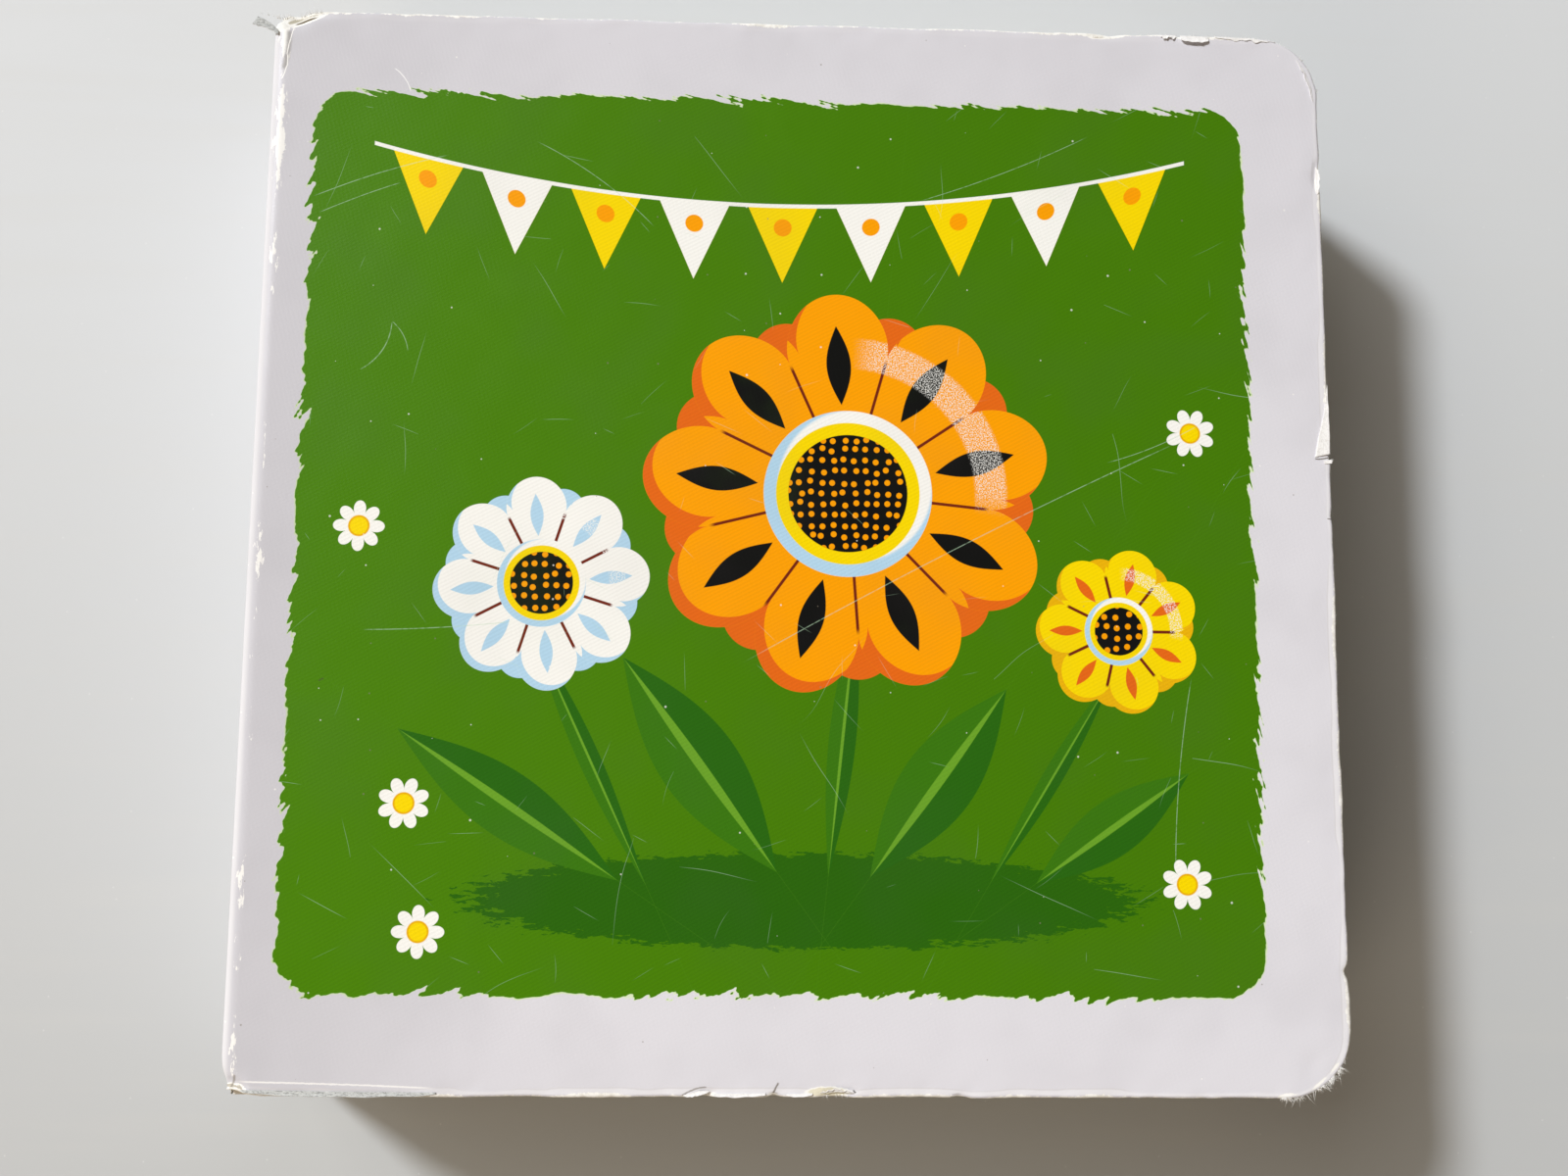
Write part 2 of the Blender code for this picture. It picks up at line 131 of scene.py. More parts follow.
room = bpy.data.worlds.new("room")
room.use_nodes = True
room_nodes = room.node_tree.nodes
room_nodes["Background"].inputs["Color"].default_value = (*ROOM_COLOUR, 1)
room_nodes["Background"].inputs["Strength"].default_value = ROOM_STRENGTH
seen = room_nodes.new("ShaderNodeBackground")
seen.inputs["Color"].default_value = (1, 1, 1, 1)
seen.inputs["Strength"].default_value = SEEN_BACKGROUND
path = room_nodes.new("ShaderNodeLightPath")
choice = room_nodes.new("ShaderNodeMixShader")
either = None
for ray in ("Is Camera Ray", "Is Glossy Ray", "Is Transmission Ray"):
    if either is None:
        either = path.outputs[ray]
        continue
    larger = room_nodes.new("ShaderNodeMath")
    larger.operation = "MAXIMUM"
    room.node_tree.links.new(either, larger.inputs[0])
    room.node_tree.links.new(path.outputs[ray], larger.inputs[1])
    either = larger.outputs[0]
room.node_tree.links.new(either, choice.inputs[0])
room.node_tree.links.new(room_nodes["Background"].outputs[0], choice.inputs[1])
room.node_tree.links.new(seen.outputs[0], choice.inputs[2])
room.node_tree.links.new(choice.outputs[0], room_nodes["World Output"].inputs["Surface"])
bpy.context.scene.world = room


# The table
# A plain pale table top, painted and slightly uneven. Its colour darkens along Y towards the
# reader's side: painted shade, for the daylight that fades away from the window.
TABLE_SIZE = 6.0  # m
TABLE_FAR = (220, 223, 226)
TABLE_NEAR = (172, 174, 174)
TABLE_FADE = (260, -290)  # mm along Y


def math_node(operation):
    """A method that adds a math node of one kind to a field's tree."""
    return lambda self, *others: self.op(operation, *others)


class Field:
    """A number that changes over a surface: a node's output. Arithmetic on it adds math nodes."""

    def __init__(self, tree, socket):
        self.tree = tree
        self.socket = socket

    def op(self, operation, *others):
        made = self.tree.nodes.new("ShaderNodeMath")
        made.operation = operation
        for socket, value in zip(made.inputs, (self, *others)):
            feed(socket, value)
        return Field(self.tree, made.outputs[0])

    __add__ = math_node("ADD")
    __sub__ = math_node("SUBTRACT")
    __mul__ = math_node("MULTIPLY")
    __truediv__ = math_node("DIVIDE")
    __pow__ = math_node("POWER")
    __abs__ = math_node("ABSOLUTE")
    at_least = math_node("MAXIMUM")
    at_most = math_node("MINIMUM")
    below = math_node("LESS_THAN")
    sine = math_node("SINE")
    cosine = math_node("COSINE")
    angle_from = math_node("ARCTAN2")
    floor = math_node("FLOOR")
    fraction = math_node("FRACT")

    def __neg__(self):
        return self.op("MULTIPLY", -1.0)

    def inverse(self):
        """One minus this."""
        return self.op("MULTIPLY_ADD", -1.0, 1.0)

    def rise(self, low, high):
        """0 below low and 1 above high, with an S-shaped step between."""
        inputs = {"Value": self, "From Min": low, "From Max": high}
        return node(self.tree, "MapRange", inputs, interpolation_type="SMOOTHSTEP")

    def inside(self, softness=0.06):
        """A mask that is 1 where a distance in mm is positive, with an edge of that width."""
        return self.rise(-softness, softness)


def feed(socket, value):
    """Gives a socket a field, or a number, place or colour of its own."""
    if isinstance(value, Field):
        value.tree.links.new(value.socket, socket)
    else:
        socket.default_value = value


def node(tree, kind, inputs, output=0, **settings):
    """Adds a node with its settings, feeds its named or numbered inputs, and hands back an output."""
    made = tree.nodes.new("ShaderNode" + kind)
    for name, value in settings.items():
        setattr(made, name, value)
    for name, value in inputs.items():
        feed(made.inputs[name], value)
    return Field(tree, made.outputs[output])


def coordinates(point):
    """The X, Y and Z of a place as three fields."""
    split = node(point.tree, "SeparateXYZ", {0: point}).socket.node
    return [Field(point.tree, output) for output in split.outputs]


def place(tree, x, y, z=0.0):
    return node(tree, "CombineXYZ", {0: x, 1: y, 2: z})


def hypot(a, b):
    """The length of the hypotenuse over two sides."""
    return node(a.tree, "VectorMath", {0: place(a.tree, a, b)}, output=1, operation="LENGTH")


def way_from(point, x, y):
    """The way from a place in X and Y to the point."""
    inputs = {0: point, 1: place(point.tree, x, y)}
    return node(point.tree, "VectorMath", inputs, operation="SUBTRACT")


def dot(way, x, y):
    """How far a way runs along a direction in X and Y."""
    inputs = {0: way, 1: place(way.tree, x, y)}
    return node(way.tree, "VectorMath", inputs, output=1, operation="DOT_PRODUCT")


def noise(point, scale, detail=2.0, roughness=0.5, kind="3D"):
    """Cloudy noise about 0.5, with about so many clouds to a millimetre."""
    inputs = {"Vector": point, "Scale": scale, "Detail": detail, "Roughness": roughness}
    return node(point.tree, "TexNoise", inputs, output="Fac", noise_dimensions=kind)


def paint(under, mask, colour):
    """Lays a colour over another where the mask is 1."""
    inputs = {0: mask, 6: under, 7: colour}
    return node(mask.tree, "Mix", inputs, output=2, data_type="RGBA")


def ink(*screen):
    """A screen colour, 0 to 255, as the linear colour a shader takes."""
    shares = [channel / 255 for channel in screen]
    linear = [s / 12.92 if s <= 0.04045 else ((s + 0.055) / 1.055) ** 2.4 for s in shares]
    return (*linear, 1.0)


def layered(colour, *layers):
    """Lays screen colours over another, one after the other, each where its mask is 1."""
    for mask, screen in layers:
        colour = paint(colour, mask, ink(*screen))
    return colour


def finish_of(name, roughness, specular, work):
    """A material whose colour, roughness and height come from work, which is given the place in mm.

    Work returns a colour, a roughness and a height in mm.
    """
    made = bpy.data.materials.new(name)
    made.use_nodes = True
    tree = made.node_tree
    shader = tree.nodes["Principled BSDF"]
    where = Field(tree, tree.nodes.new("ShaderNodeTexCoord").outputs["Object"])
    inputs = {0: where, "Scale": 1 / MM}
    point = node(tree, "VectorMath", inputs, operation="SCALE")
    colour, rough, height = work(point)
    feed(shader.inputs["Base Color"], colour)
    feed(shader.inputs["Roughness"], rough if rough is not None else roughness)
    shader.inputs["Specular IOR Level"].default_value = specular
    if height is not None:
        bump = {"Height": height, "Distance": MM, "Strength": 1.0}
        feed(shader.inputs["Normal"], node(tree, "Bump", bump))
    return made


def table_finish(point):
    """Pale paint with faint streaks from the roller, a few specks of dust, and painted shade that
    darkens it towards the reader's side.
    """
    x, y, _ = coordinates(point)
    streaks = noise(place(point.tree, x * 0.012, y * 0.16), 1.0, detail=3.0, roughness=0.6)
    dust = node(point.tree, "TexVoronoi", {"Vector": point, "Scale": 0.055}, voronoi_dimensions="2D")
    colour = layered(
        ink(*TABLE_FAR),
        # painted shade: darker towards the reader's side, away from the window
        (y.rise(*TABLE_FADE), TABLE_NEAR),
        (streaks.rise(0.45, 0.8) * 0.12, (206, 204, 198)),
        ((dust * 18.0).rise(0.2, 0.08) * 0.2, (244, 244, 244)),
    )
    return colour, streaks * 0.1 + 0.45, None


bpy.ops.mesh.primitive_plane_add(size=TABLE_SIZE)
table = bpy.context.object
table.name = "table"
table.data.materials.append(finish_of("painted_table", 0.5, 0.2, table_finish))
table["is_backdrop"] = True


# The front cover
# A board laminated with glossy film over its print, with half a page sheet pasted inside. It
# was folded along a score beside the spine, and trimmed with the pages, with round corners
# at the fore edge. Use has crushed its corners, torn the film off its edges and scratched it.
FRONT_LOW, FRONT_HIGH = (np.array(corner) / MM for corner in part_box("front_cover"))
BOARD = FRONT_HIGH[2] - FRONT_LOW[2]
HALF_WIDTH = FRONT_HIGH[0]
HALF_HEIGHT = FRONT_HIGH[1]
CORNER_RADIUS = 9.5
FOLD_RUN = 2.0  # width of the outer rounding at the fold, from the spine face
KNUCKLE = BOARD / 2
HINGE_X = FRONT_LOW[0] + KNUCKLE
FRONT_HINGE_Z = (FRONT_LOW[2] + FRONT_HIGH[2]) / 2
TOP_SOFTENING = 0.42
INNER_SOFTENING = 0.25

COLUMNS = 150
ROWS = 150
FOLD_STEPS = 8
CORNER_STEPS = 15
ROUNDING_STEPS = 4
WALL_STEPS = 4


def crowded(low, high, count, places):
    """Lines from low to high, closer together near the places.

    Their density is one plus a bell of a given height and reach round each place, and the
    lines cut its running sum into equal shares.
    """
    fine = np.linspace(low, high, 4000)
    density = np.ones_like(fine)
    for middle_of_bell, reach, height in places:
        density += height * np.exp(-(((fine - middle_of_bell) / reach) ** 2))
    total = np.cumsum(density)
    return np.interp(np.linspace(total[0], total[-1], count), total, fine)


def ripple(x, y, wavelength, seed, waves=7):
    """Gentle irregularity, mostly between -1 and 1.

    It is a sum of sine waves of random direction and phase, with wavelengths within a third
    of the given one.
    """
    chance = np.random.default_rng(seed)
    total = np.zeros(np.broadcast(x, y).shape)
    for _ in range(waves):
        turn, phase = chance.uniform(0, math.tau, 2)
        stretch = math.tau / (wavelength * chance.uniform(0.67, 1.33))
        total += np.sin((x * math.cos(turn) + y * math.sin(turn)) * stretch + phase)
    return total / math.sqrt(waves)


def bell(x, y, centre, reach):
    """1 at the centre and falling to nothing over the reach, the same all round."""
    return np.exp(-((x - centre[0]) ** 2 + (y - centre[1]) ** 2) / reach**2)


def dented(x, y, dents):
    """How far the dents, each a bell of given centre and reach, push each place in X, Y and Z."""
    return sum(bell(x, y, centre, reach)[:, None] * np.array(push) for centre, reach, push in dents)


def trimmed_rows(inset, lines):
    """The Y of each row of a board and its fore-edge X, on an outline so far inside the trimmed one.

    Rows in the two corner zones step round the arc by equal angles, and those between are
    the given lines.
    """
    radius = CORNER_RADIUS - inset
    turns = np.linspace(math.pi / 2, 0, CORNER_STEPS, endpoint=False)
    arc_y = HALF_HEIGHT - CORNER_RADIUS + radius * np.sin(turns)
    arc_x = HALF_WIDTH - CORNER_RADIUS + radius * np.cos(turns)
    y = np.concatenate([-arc_y, lines, arc_y[::-1]])
    x = np.concatenate([arc_x, np.full(len(lines), HALF_WIDTH - inset), arc_x[::-1]])
    return y, x


def mesh_object(name, points, faces, finishes, slots=None, attributes=None):
    """A smooth-shaded mesh of points in mm, with a finish for each face and values for each point."""
    mesh = bpy.data.meshes.new(name)
    mesh.from_pydata((np.asarray(points) * MM).tolist(), [], faces)
    for finish in finishes:
        mesh.materials.append(finish)
    if slots is not None:
        mesh.polygons.foreach_set("material_index", np.asarray(slots, dtype=np.int32))
    for label, values in (attributes or {}).items():
        layer = mesh.attributes.new(label, "FLOAT", "POINT")
        layer.data.foreach_set("value", np.asarray(values, dtype=np.float32).ravel())
    mesh.shade_smooth()
    mesh.validate()
    made = bpy.data.objects.new(name, mesh)
    bpy.context.scene.collection.objects.link(made)
    return made


def grid_faces(first, rows, columns, flip=False):
    """Four-sided faces over a grid of points numbered row by row from the first."""
    corner = first + np.arange(rows - 1)[:, None] * columns + np.arange(columns - 1)[None, :]
    faces = np.stack([corner, corner + 1, corner + columns + 1, corner + columns], axis=-1)
    faces = faces.reshape(-1, 4)
    return faces[:, ::-1] if flip else faces


def cover_board(lines_across, lines_along, wear):
    """The surface of a cover board, as points in mm, faces, face kinds and point values.

    Two grids, the outer face and the inner one, meet at the fold, where the outer one ends
    in an ellipse and the inner one in a quarter circle. Along the other three sides a rim
    joins them, ring below ring: a softened edge, a straight wall and a softened edge. Heights
    are above the board's middle.
    """
    turns = np.linspace(0, math.pi / 2, FOLD_STEPS, endpoint=False)
    outer_fold = (FRONT_LOW[0] + FOLD_RUN * (1 - np.cos(turns)), KNUCKLE * np.sin(turns))
    inner_fold = (FRONT_LOW[0] + KNUCKLE * (1 - np.cos(turns)), -KNUCKLE * np.sin(turns))
    columns = FOLD_STEPS + len(lines_across)
    rounding = np.linspace(math.pi / 2, 0, ROUNDING_STEPS + 1)
    wall = np.linspace(TOP_SOFTENING, BOARD - INNER_SOFTENING, WALL_STEPS + 1)[1:-1]
    lower = rounding[::-1]
    down = np.concatenate(
        [TOP_SOFTENING * (1 - np.sin(rounding)), wall, BOARD - INNER_SOFTENING * (1 - np.sin(lower))]
    )
    inset = np.concatenate(
        [TOP_SOFTENING * (1 - np.cos(rounding)), 0 * wall, INNER_SOFTENING * (1 - np.cos(lower))]
    )
    grids = []
    sides = ((outer_fold, FOLD_RUN, 0, KNUCKLE), (inner_fold, KNUCKLE, -1, -KNUCKLE))
    for fold, run, edge, height in sides:
        start = FRONT_LOW[0] + run
        y, fore = trimmed_rows(inset[edge], lines_along)
        plate = start + lines_across[None, :] * (fore[:, None] - start)
        x = np.concatenate([np.tile(fold[0], (len(y), 1)), plate], axis=1)
        z = np.concatenate([fold[1], np.full(len(lines_across), height)])
        thinness = 1 - np.abs(z) / KNUCKLE
        reach = y[:, None] * (1 + thinness[None, :] * inset[edge] / HALF_HEIGHT)
        grids.append(np.stack(np.broadcast_arrays(x, reach, z), axis=-1))
    rows = grids[0].shape[0]
    loop = [(0, j) for j in range(columns)]
    loop += [(i, columns - 1) for i in range(1, rows)]
    loop = np.array(loop + [(rows - 1, j) for j in range(columns - 2, -1, -1)])
    upper, lower = (grid[loop[:, 0], loop[:, 1]] for grid in grids)
    at_fore = loop[:, 1] == columns - 1
    full = (upper[:, 2] - lower[:, 2]) / BOARD
    rings = []
    for k in range(1, len(down) - 1):
        y, fore = trimmed_rows(inset[k], lines_along)
        share = down[k] / BOARD
        ring = upper * (1 - share) + lower * share
        ring[:, 0] = np.where(at_fore, fore[loop[:, 0]], ring[:, 0])
        ends = np.sign(upper[:, 1]) * (HALF_HEIGHT - inset[k] * full)
        ring[:, 1] = np.where(at_fore, y[loop[:, 0]], ends)
        rings.append(ring)
    points = np.concatenate([grid.reshape(-1, 3) for grid in grids] + rings)
    count = rows * columns
    indices = [loop[:, 0] * columns + loop[:, 1]]
    indices += [2 * count + k * len(loop) + np.arange(len(loop)) for k in range(len(rings))]
    indices += [count + loop[:, 0] * columns + loop[:, 1]]
    faces = [grid_faces(0, rows, columns), grid_faces(count, rows, columns, flip=True)]
    inner_kinds = np.where(np.arange(columns - 1) < FOLD_STEPS, 0, 2)
    kinds = [np.zeros(len(faces[0]), int), np.tile(inner_kinds, rows - 1)]
    for k, (a, b) in enumerate(zip(indices, indices[1:])):
        faces.append(np.stack([a[:-1], b[:-1], b[1:], a[1:]], axis=-1))
        kind = 0 if down[k] < TOP_SOFTENING * 0.6 else 1
        kinds.append(np.full(len(loop) - 1, kind))
    faces, kinds = np.concatenate(faces), np.concatenate(kinds)
    x, y, z = points.T
    rim = distance_from_edge(x, y)
    points = points + wear(x, y, z, rim)
    return points, faces, kinds, {"rim": rim, "ply": (KNUCKLE - z) / BOARD}


def distance_from_edge(x, y):
    """How far inside the trimmed head, tail and fore edges a place is, in mm."""
    past_x = x - (HALF_WIDTH - CORNER_RADIUS)
    past_y = np.abs(y) - (HALF_HEIGHT - CORNER_RADIUS)
    in_corner = (past_x > 0) & (past_y > 0)
    straight = np.minimum(HALF_WIDTH - x, HALF_HEIGHT - np.abs(y))
    return np.where(in_corner, CORNER_RADIUS - np.hypot(past_x, past_y), straight)


def joined(points, faces, kinds):
    """Drops the points that repeat, and the faces that lost their area to it."""
    keys = np.round(points * 1e4).astype(np.int64)
    _, first, back = np.unique(keys, axis=0, return_index=True, return_inverse=True)
    merged, kept = [], []
    for face, kind in zip(back.ravel()[faces], kinds):
        corners = list(dict.fromkeys(face.tolist()))
        if len(corners) > 2:
            merged.append(corners)
            kept.append(kind)
    return first, merged, kept


# Dents in the front cover's edges: where, how wide, and how far they push in X, Y and Z, in mm
FRONT_DENTS = (
    ((79.8, 57.5), 1.6, (-0.25, 0.0, -0.12)),
    ((79.8, 13.4), 0.5, (-0.2, 0.0, -0.1)),
    ((79.9, 4.0), 0.8, (-0.25, 0.0, -0.05)),
    ((79.8, -62.2), 0.9, (-0.6, 0.0, -0.1)),
    ((79.8, -30.0), 3.0, (-0.15, 0.0, 0.0)),
    ((-12.8, -79.8), 1.0, (0.0, 0.35, -0.15)),
    ((-2.8, -79.8), 0.6, (0.0, 0.45, -0.12)),
    ((6.0, -79.9), 1.6, (0.0, 0.3, -0.15)),
    ((23.5, -79.9), 0.8, (0.0, 0.3, -0.1)),
    ((47.5, 79.9), 1.2, (0.0, -0.3, -0.1)),
    ((58.5, 79.9), 0.9, (0.0, -0.35, -0.08)),
    ((-79.5, -79.5), 2.6, (0.9, 0.9, -0.35)),
    ((-77.0, 79.6), 2.2, (0.3, -0.8, -0.45)),
    ((-79.9, 79.8), 1.3, (0.9, -0.8, -0.2)),
    ((74.5, -76.0), 2.2, (-0.35, 0.3, -0.12)),
    ((71.5, 77.5), 3.5, (-0.1, -0.1, -0.05)),
)
# Bare patches where the film and its paper are torn off the board: ends and half width, in mm
FRONT_TEARS = (
    ((4.4, -79.6), (7.8, -79.3), 0.55),
    ((-13.8, -79.9), (-11.4, -79.4), 0.4),
    ((-78.6, 79.3), (-72.0, 79.4), 0.6),
    ((79.5, 59.6), (79.4, 55.6), 0.35),
    ((-79.2, -78.9), (-77.2, -79.2), 0.8),
)
CREASE = ((-44.7, -40.0), (-46.2, -57.0), (-46.6, -79.0))
FILM = 0.22  # depth of the film and its printed paper


def segment_distance(x, y, start, end):
    """Distance from the line between two places."""
    start, end = np.array(start), np.array(end)
    along = end - start
    share = ((x - start[0]) * along[0] + (y - start[1]) * along[1]) / (along @ along)
    share = np.clip(share, 0, 1)
    return np.hypot(x - start[0] - share * along[0], y - start[1] - share * along[1])


def front_wear(x, y, z, rim):
    """How use has moved each point of the front cover.

    The whole board is slightly wavy, its rim is a little uneven, dents push it in, torn
    patches lie a film's depth lower, and a crease stands up as a narrow ridge.
    """
    outside = z > KNUCKLE * 0.5
    near_rim = np.exp(-np.maximum(rim, 0) / 1.5)
    move = np.zeros((len(x), 3))
    past_fold = np.clip((x - HINGE_X) / 12, 0, 1)
    move[:, 2] += (0.03 * ripple(x, y, 55, 1) + 0.012 * ripple(x, y, 9, 2)) * past_fold
    uneven = 0.07 * ripple(x, y, 14, 3) + 0.04 * ripple(x, y, 2.6, 4) - 0.07
    past_x = np.maximum(x - (HALF_WIDTH - CORNER_RADIUS), 0)
    past_y = np.maximum(np.abs(y) - (HALF_HEIGHT - CORNER_RADIUS), 0) * np.sign(y)
    length = np.maximum(np.hypot(past_x, past_y), 1e-6)
    move[:, 0] += uneven * near_rim * past_x / length
    move[:, 1] += uneven * near_rim * past_y / length
    move[:, 2] -= np.where(outside, 0.05 * near_rim * (1 + ripple(x, y, 4, 5)), 0)
    move += dented(x, y, FRONT_DENTS)
    for start, end, half_width in FRONT_TEARS:
        away = segment_distance(x, y, start, end)
        torn = 0.5 - 0.5 * np.tanh((away - half_width) / 0.16)
        move[:, 2] -= np.where(outside, FILM * torn, 0)
    for start, end in zip(CREASE, CREASE[1:]):
        away = segment_distance(x, y, start, end)
        move[:, 2] += np.where(outside, 0.05 * np.exp(-((away / 0.5) ** 2)), 0)
    return move


PANEL_SPINE_MARGIN = 6.8
PANEL_FORE_MARGIN = 12.2
PANEL_HEAD_MARGIN = 12.6
PANEL_TAIL_MARGIN = 14.0
PANEL_LOW = (FRONT_LOW[0] + PANEL_SPINE_MARGIN, FRONT_LOW[1] + PANEL_TAIL_MARGIN)
PANEL_HIGH = (FRONT_HIGH[0] - PANEL_FORE_MARGIN, FRONT_HIGH[1] - PANEL_HEAD_MARGIN)
PANEL_CORNER = 6.0
BRUSH_REACH = 0.5  # mm, how far the brush's teeth stand out of the panel's edge
BRUSH_TOOTH = 3.6  # mm from tooth to tooth
PICTURE_SIDE = min(high - low for low, high in zip(PANEL_LOW, PANEL_HIGH))


def effect(work):
    """Makes a node group of a function of fields, and hands back a function that places it.

    An argument called point is a place in mm, and the others are numbers. The first one that
    is handed in says which material the group goes into. The results are its outputs.
    """
    names = list(inspect.signature(work).parameters)
    group = bpy.data.node_groups.new(work.__name__, "ShaderNodeTree")
    for name in names:
        kind = "NodeSocketVector" if name == "point" else "NodeSocketFloat"
        group.interface.new_socket(name, in_out="INPUT", socket_type=kind)
    entry = group.nodes.new("NodeGroupInput")
    results = work(*(Field(group, entry.outputs[name]) for name in names))
    for name in results:
        group.interface.new_socket(name, in_out="OUTPUT", socket_type="NodeSocketFloat")
    leaving = group.nodes.new("NodeGroupOutput")
    for name, field in results.items():
        feed(leaving.inputs[name], field)

    def placed(*values):
        tree = values[0].tree
        made = tree.nodes.new("ShaderNodeGroup")
        made.node_tree = group
        for name, value in zip(names, values):
            feed(made.inputs[name], value)
        fields = {name: Field(tree, made.outputs[name]) for name in results}
        return fields if len(fields) > 1 else fields.popitem()[1]

    return placed


@effect
def brushed_panel(point, low_x, low_y, high_x, high_y, corner, reach, tooth):
    """The field of colour: a rounded rectangle whose edge was painted with a dry brush.

    The distance from the rounded rectangle is shifted by saw teeth of uneven spacing, which
    lean because they run along the edge and partly across it.
    """
    tree = point.tree
    x, y, _ = coordinates(point)
    past_x = abs(x - (low_x + high_x) * 0.5) - (high_x - low_x) * 0.5 + corner
    past_y = abs(y - (low_y + high_y) * 0.5) - (high_y - low_y) * 0.5 + corner
    outer = hypot(past_x.at_least(0.0), past_y.at_least(0.0))
    away = outer + past_x.at_least(past_y).at_most(0.0) - corner
    run = x + y + away * 2.6
    lively = noise(point, 0.045, detail=1.0, kind="2D").rise(0.32, 0.66) * 1.3 + 0.25
    saw = node(tree, "TexVoronoi", {"W": run / tooth, "Scale": 1.0}, voronoi_dimensions="1D")
    small = node(tree, "TexVoronoi", {"W": run / tooth, "Scale": 2.7}, voronoi_dimensions="1D")
    swell = noise(point, 0.11, detail=1.0, kind="2D")
    patches = noise(point, 0.8, detail=1.0, kind="2D")
    teeth = (saw - 0.25) * 2.4 + (small - 0.25) * 0.9
    away = away + teeth * lively * reach + (swell - 0.5) * reach * 3.0
    away = away + (patches - 0.5) * lively * reach * 2.2
    return {"field": (-away).inside(0.05), "halo": (-away + 0.13).inside(0.1)}


@effect
def brushed_disc(point, x, y, radius_x, radius_y, rough):
    """An ellipse whose painted edge moves in and out by the roughness that it is given, in mm."""
    at_x, at_y, _ = coordinates(point)
    across = hypot((at_x - x) / radius_x, (at_y - y) / radius_y)
    return {"mask": (across.inverse() * radius_y + rough).inside()}


@effect
def daisy(point, x, y, radius, petals, turn):
    """A small flower: narrow petals, whose edge swings with a sine, round a yellow middle."""
    at_x, at_y, _ = coordinates(point)
    at_x, at_y = at_x - x, at_y - y
    far = hypot(at_x, at_y)
    around = (at_y.angle_from(at_x) + turn) * petals * 0.5
    swell = abs(around.sine()) ** 0.55
    petal = (swell.inverse() * -0.5 + 1.0) * radius - far
    return {
        "petals": petal.inside(),
        "middle": (radius * 0.34 - far).inside(),
        "shade": (radius * 0.42 - far).inside(),
    }


@effect
def leaf(point, foot_x, foot_y, turn, length, width):
    """A leaf or stem: half a sine wave to either side of a line, and the vein along it."""
    way = way_from(point, foot_x, foot_y)
    cosine, sine = turn.cosine(), turn.sine()
    along = dot(way, cosine / length, sine / length)
    across = dot(way, -sine, cosine)
    swell = (along.at_least(0.0).at_most(1.0) * math.pi).sine() * width * 0.5
    vein = swell * 0.12 - abs(across) - 0.02
    lit = (across - swell * 0.1).inside() * (swell - abs(across)).inside()
    return {"blade": (swell - abs(across) - 0.05).inside(), "vein": vein.inside(), "lit": lit}


@effect
def flower(point, x, y, radius, petals, turn, seeds, grain):
    """A flower of blunt petals about a seeded eye.

    Its edge swings with the sine of the angle between one notch and the next. The masks are
    its parts from the back to the front.
    """
    at_x, at_y, _ = coordinates(point)
    away_x, away_y = (at_x - x) / radius, (at_y - y) / radius
    far = hypot(away_x, away_y)
    angle = away_y.angle_from(away_x) + turn

    def petal_edge(side_x, side_y, notch, shift):
        out = hypot(side_x, side_y)
        around = side_y.angle_from(side_x) + turn + shift
        swell = abs((around * petals * 0.5).sine()) ** 0.6
        return (swell.inverse() * -notch + 1.0 - out) * radius

    front = petal_edge(away_x, away_y, 0.3, 0.0)
    lit = petal_edge(away_x - 0.045, away_y - 0.05, 0.3, 0.0)
    behind = petal_edge(away_x * 1.1, away_y * 1.1, 0.36, math.pi / 9)
    step = (petals * (1 / math.tau)).op("DIVIDE", 1.0)
    share = (angle * petals * (1 / math.tau)).fraction() - 0.5
    local = share / step
    out = far * local.cosine()
    side = abs(far * local.sine())
    reach = ((out - 0.44) * (math.pi / 0.4)).sine() * 0.06
    within = (out - 0.44).inside(0.004) * (out * -1.0 + 0.84).inside(0.004)
    streak = ((reach - side) * radius).inside() * within
    seam = abs(share).inverse() - 0.5
    seam = (far * seam / step) * radius
    crease = (seam * -1.0 + 0.22).inside() * (far * -1.0 + 0.68).inside(0.02)
    ring = ((far * -1.0 + 0.41) * radius).inside()
    rim = ((far * -1.0 + 0.35) * radius).inside()
    eye = ((far * -1.0 + 0.29) * radius).inside()
    arc = (abs(far - 0.7) * -1.0 + 0.075).inside(0.01)
    arc = arc * (abs(angle - turn - 0.7) * -1.0 + 0.75).inside(0.1)
    return {
        "behind": behind.inside(),
        "petals": front.inside(),
        "shade": front.inside() * lit.inside().inverse(),
        "crease": crease,
        "streak": streak * front.inside(),
        "ring": ring,
        "ring_shade": ring * (hypot(away_x - 0.035, away_y - 0.04) - 0.375).inside(0.01),
        "rim": rim,
        "eye": eye,
        "seeds": seeds * eye,
        "sheen": arc * grain * front.inside(),
    }


@effect
def flags(point, left, right, top, sag, drop, count, share):
    """A string of three-cornered flags that hangs as a parabola between its two ends."""
    at_x, at_y, _ = coordinates(point)
    run = (at_x - left) / (right - left)
    across = run * 2.0 - 1.0
    line = top - (across * across).inverse() * sag
    cell = run * count
    local = abs(cell.fraction() - 0.5)
    half = ((line - at_y) / drop).inverse() * share * 0.5
    spacing = (right - left) / count
    ends = run.at_most(run.inverse()) * 100.0
    triangle = ((half - local) * spacing).at_most(line - at_y).at_most(ends)
    odd = ((cell.floor() * 0.5).fraction() - 0.25).op("GREATER_THAN", 0.0)
    string = (abs(at_y - line) * -1.0 + 0.3).at_most(ends + 1.2)
    dots = hypot(local * spacing, line - at_y - 3.4)
    return {
        "cloth": triangle.inside(),
        "odd": odd,
        "string": string.inside(),
        "spot": (dots * -1.0 + 1.35).inside(),
    }


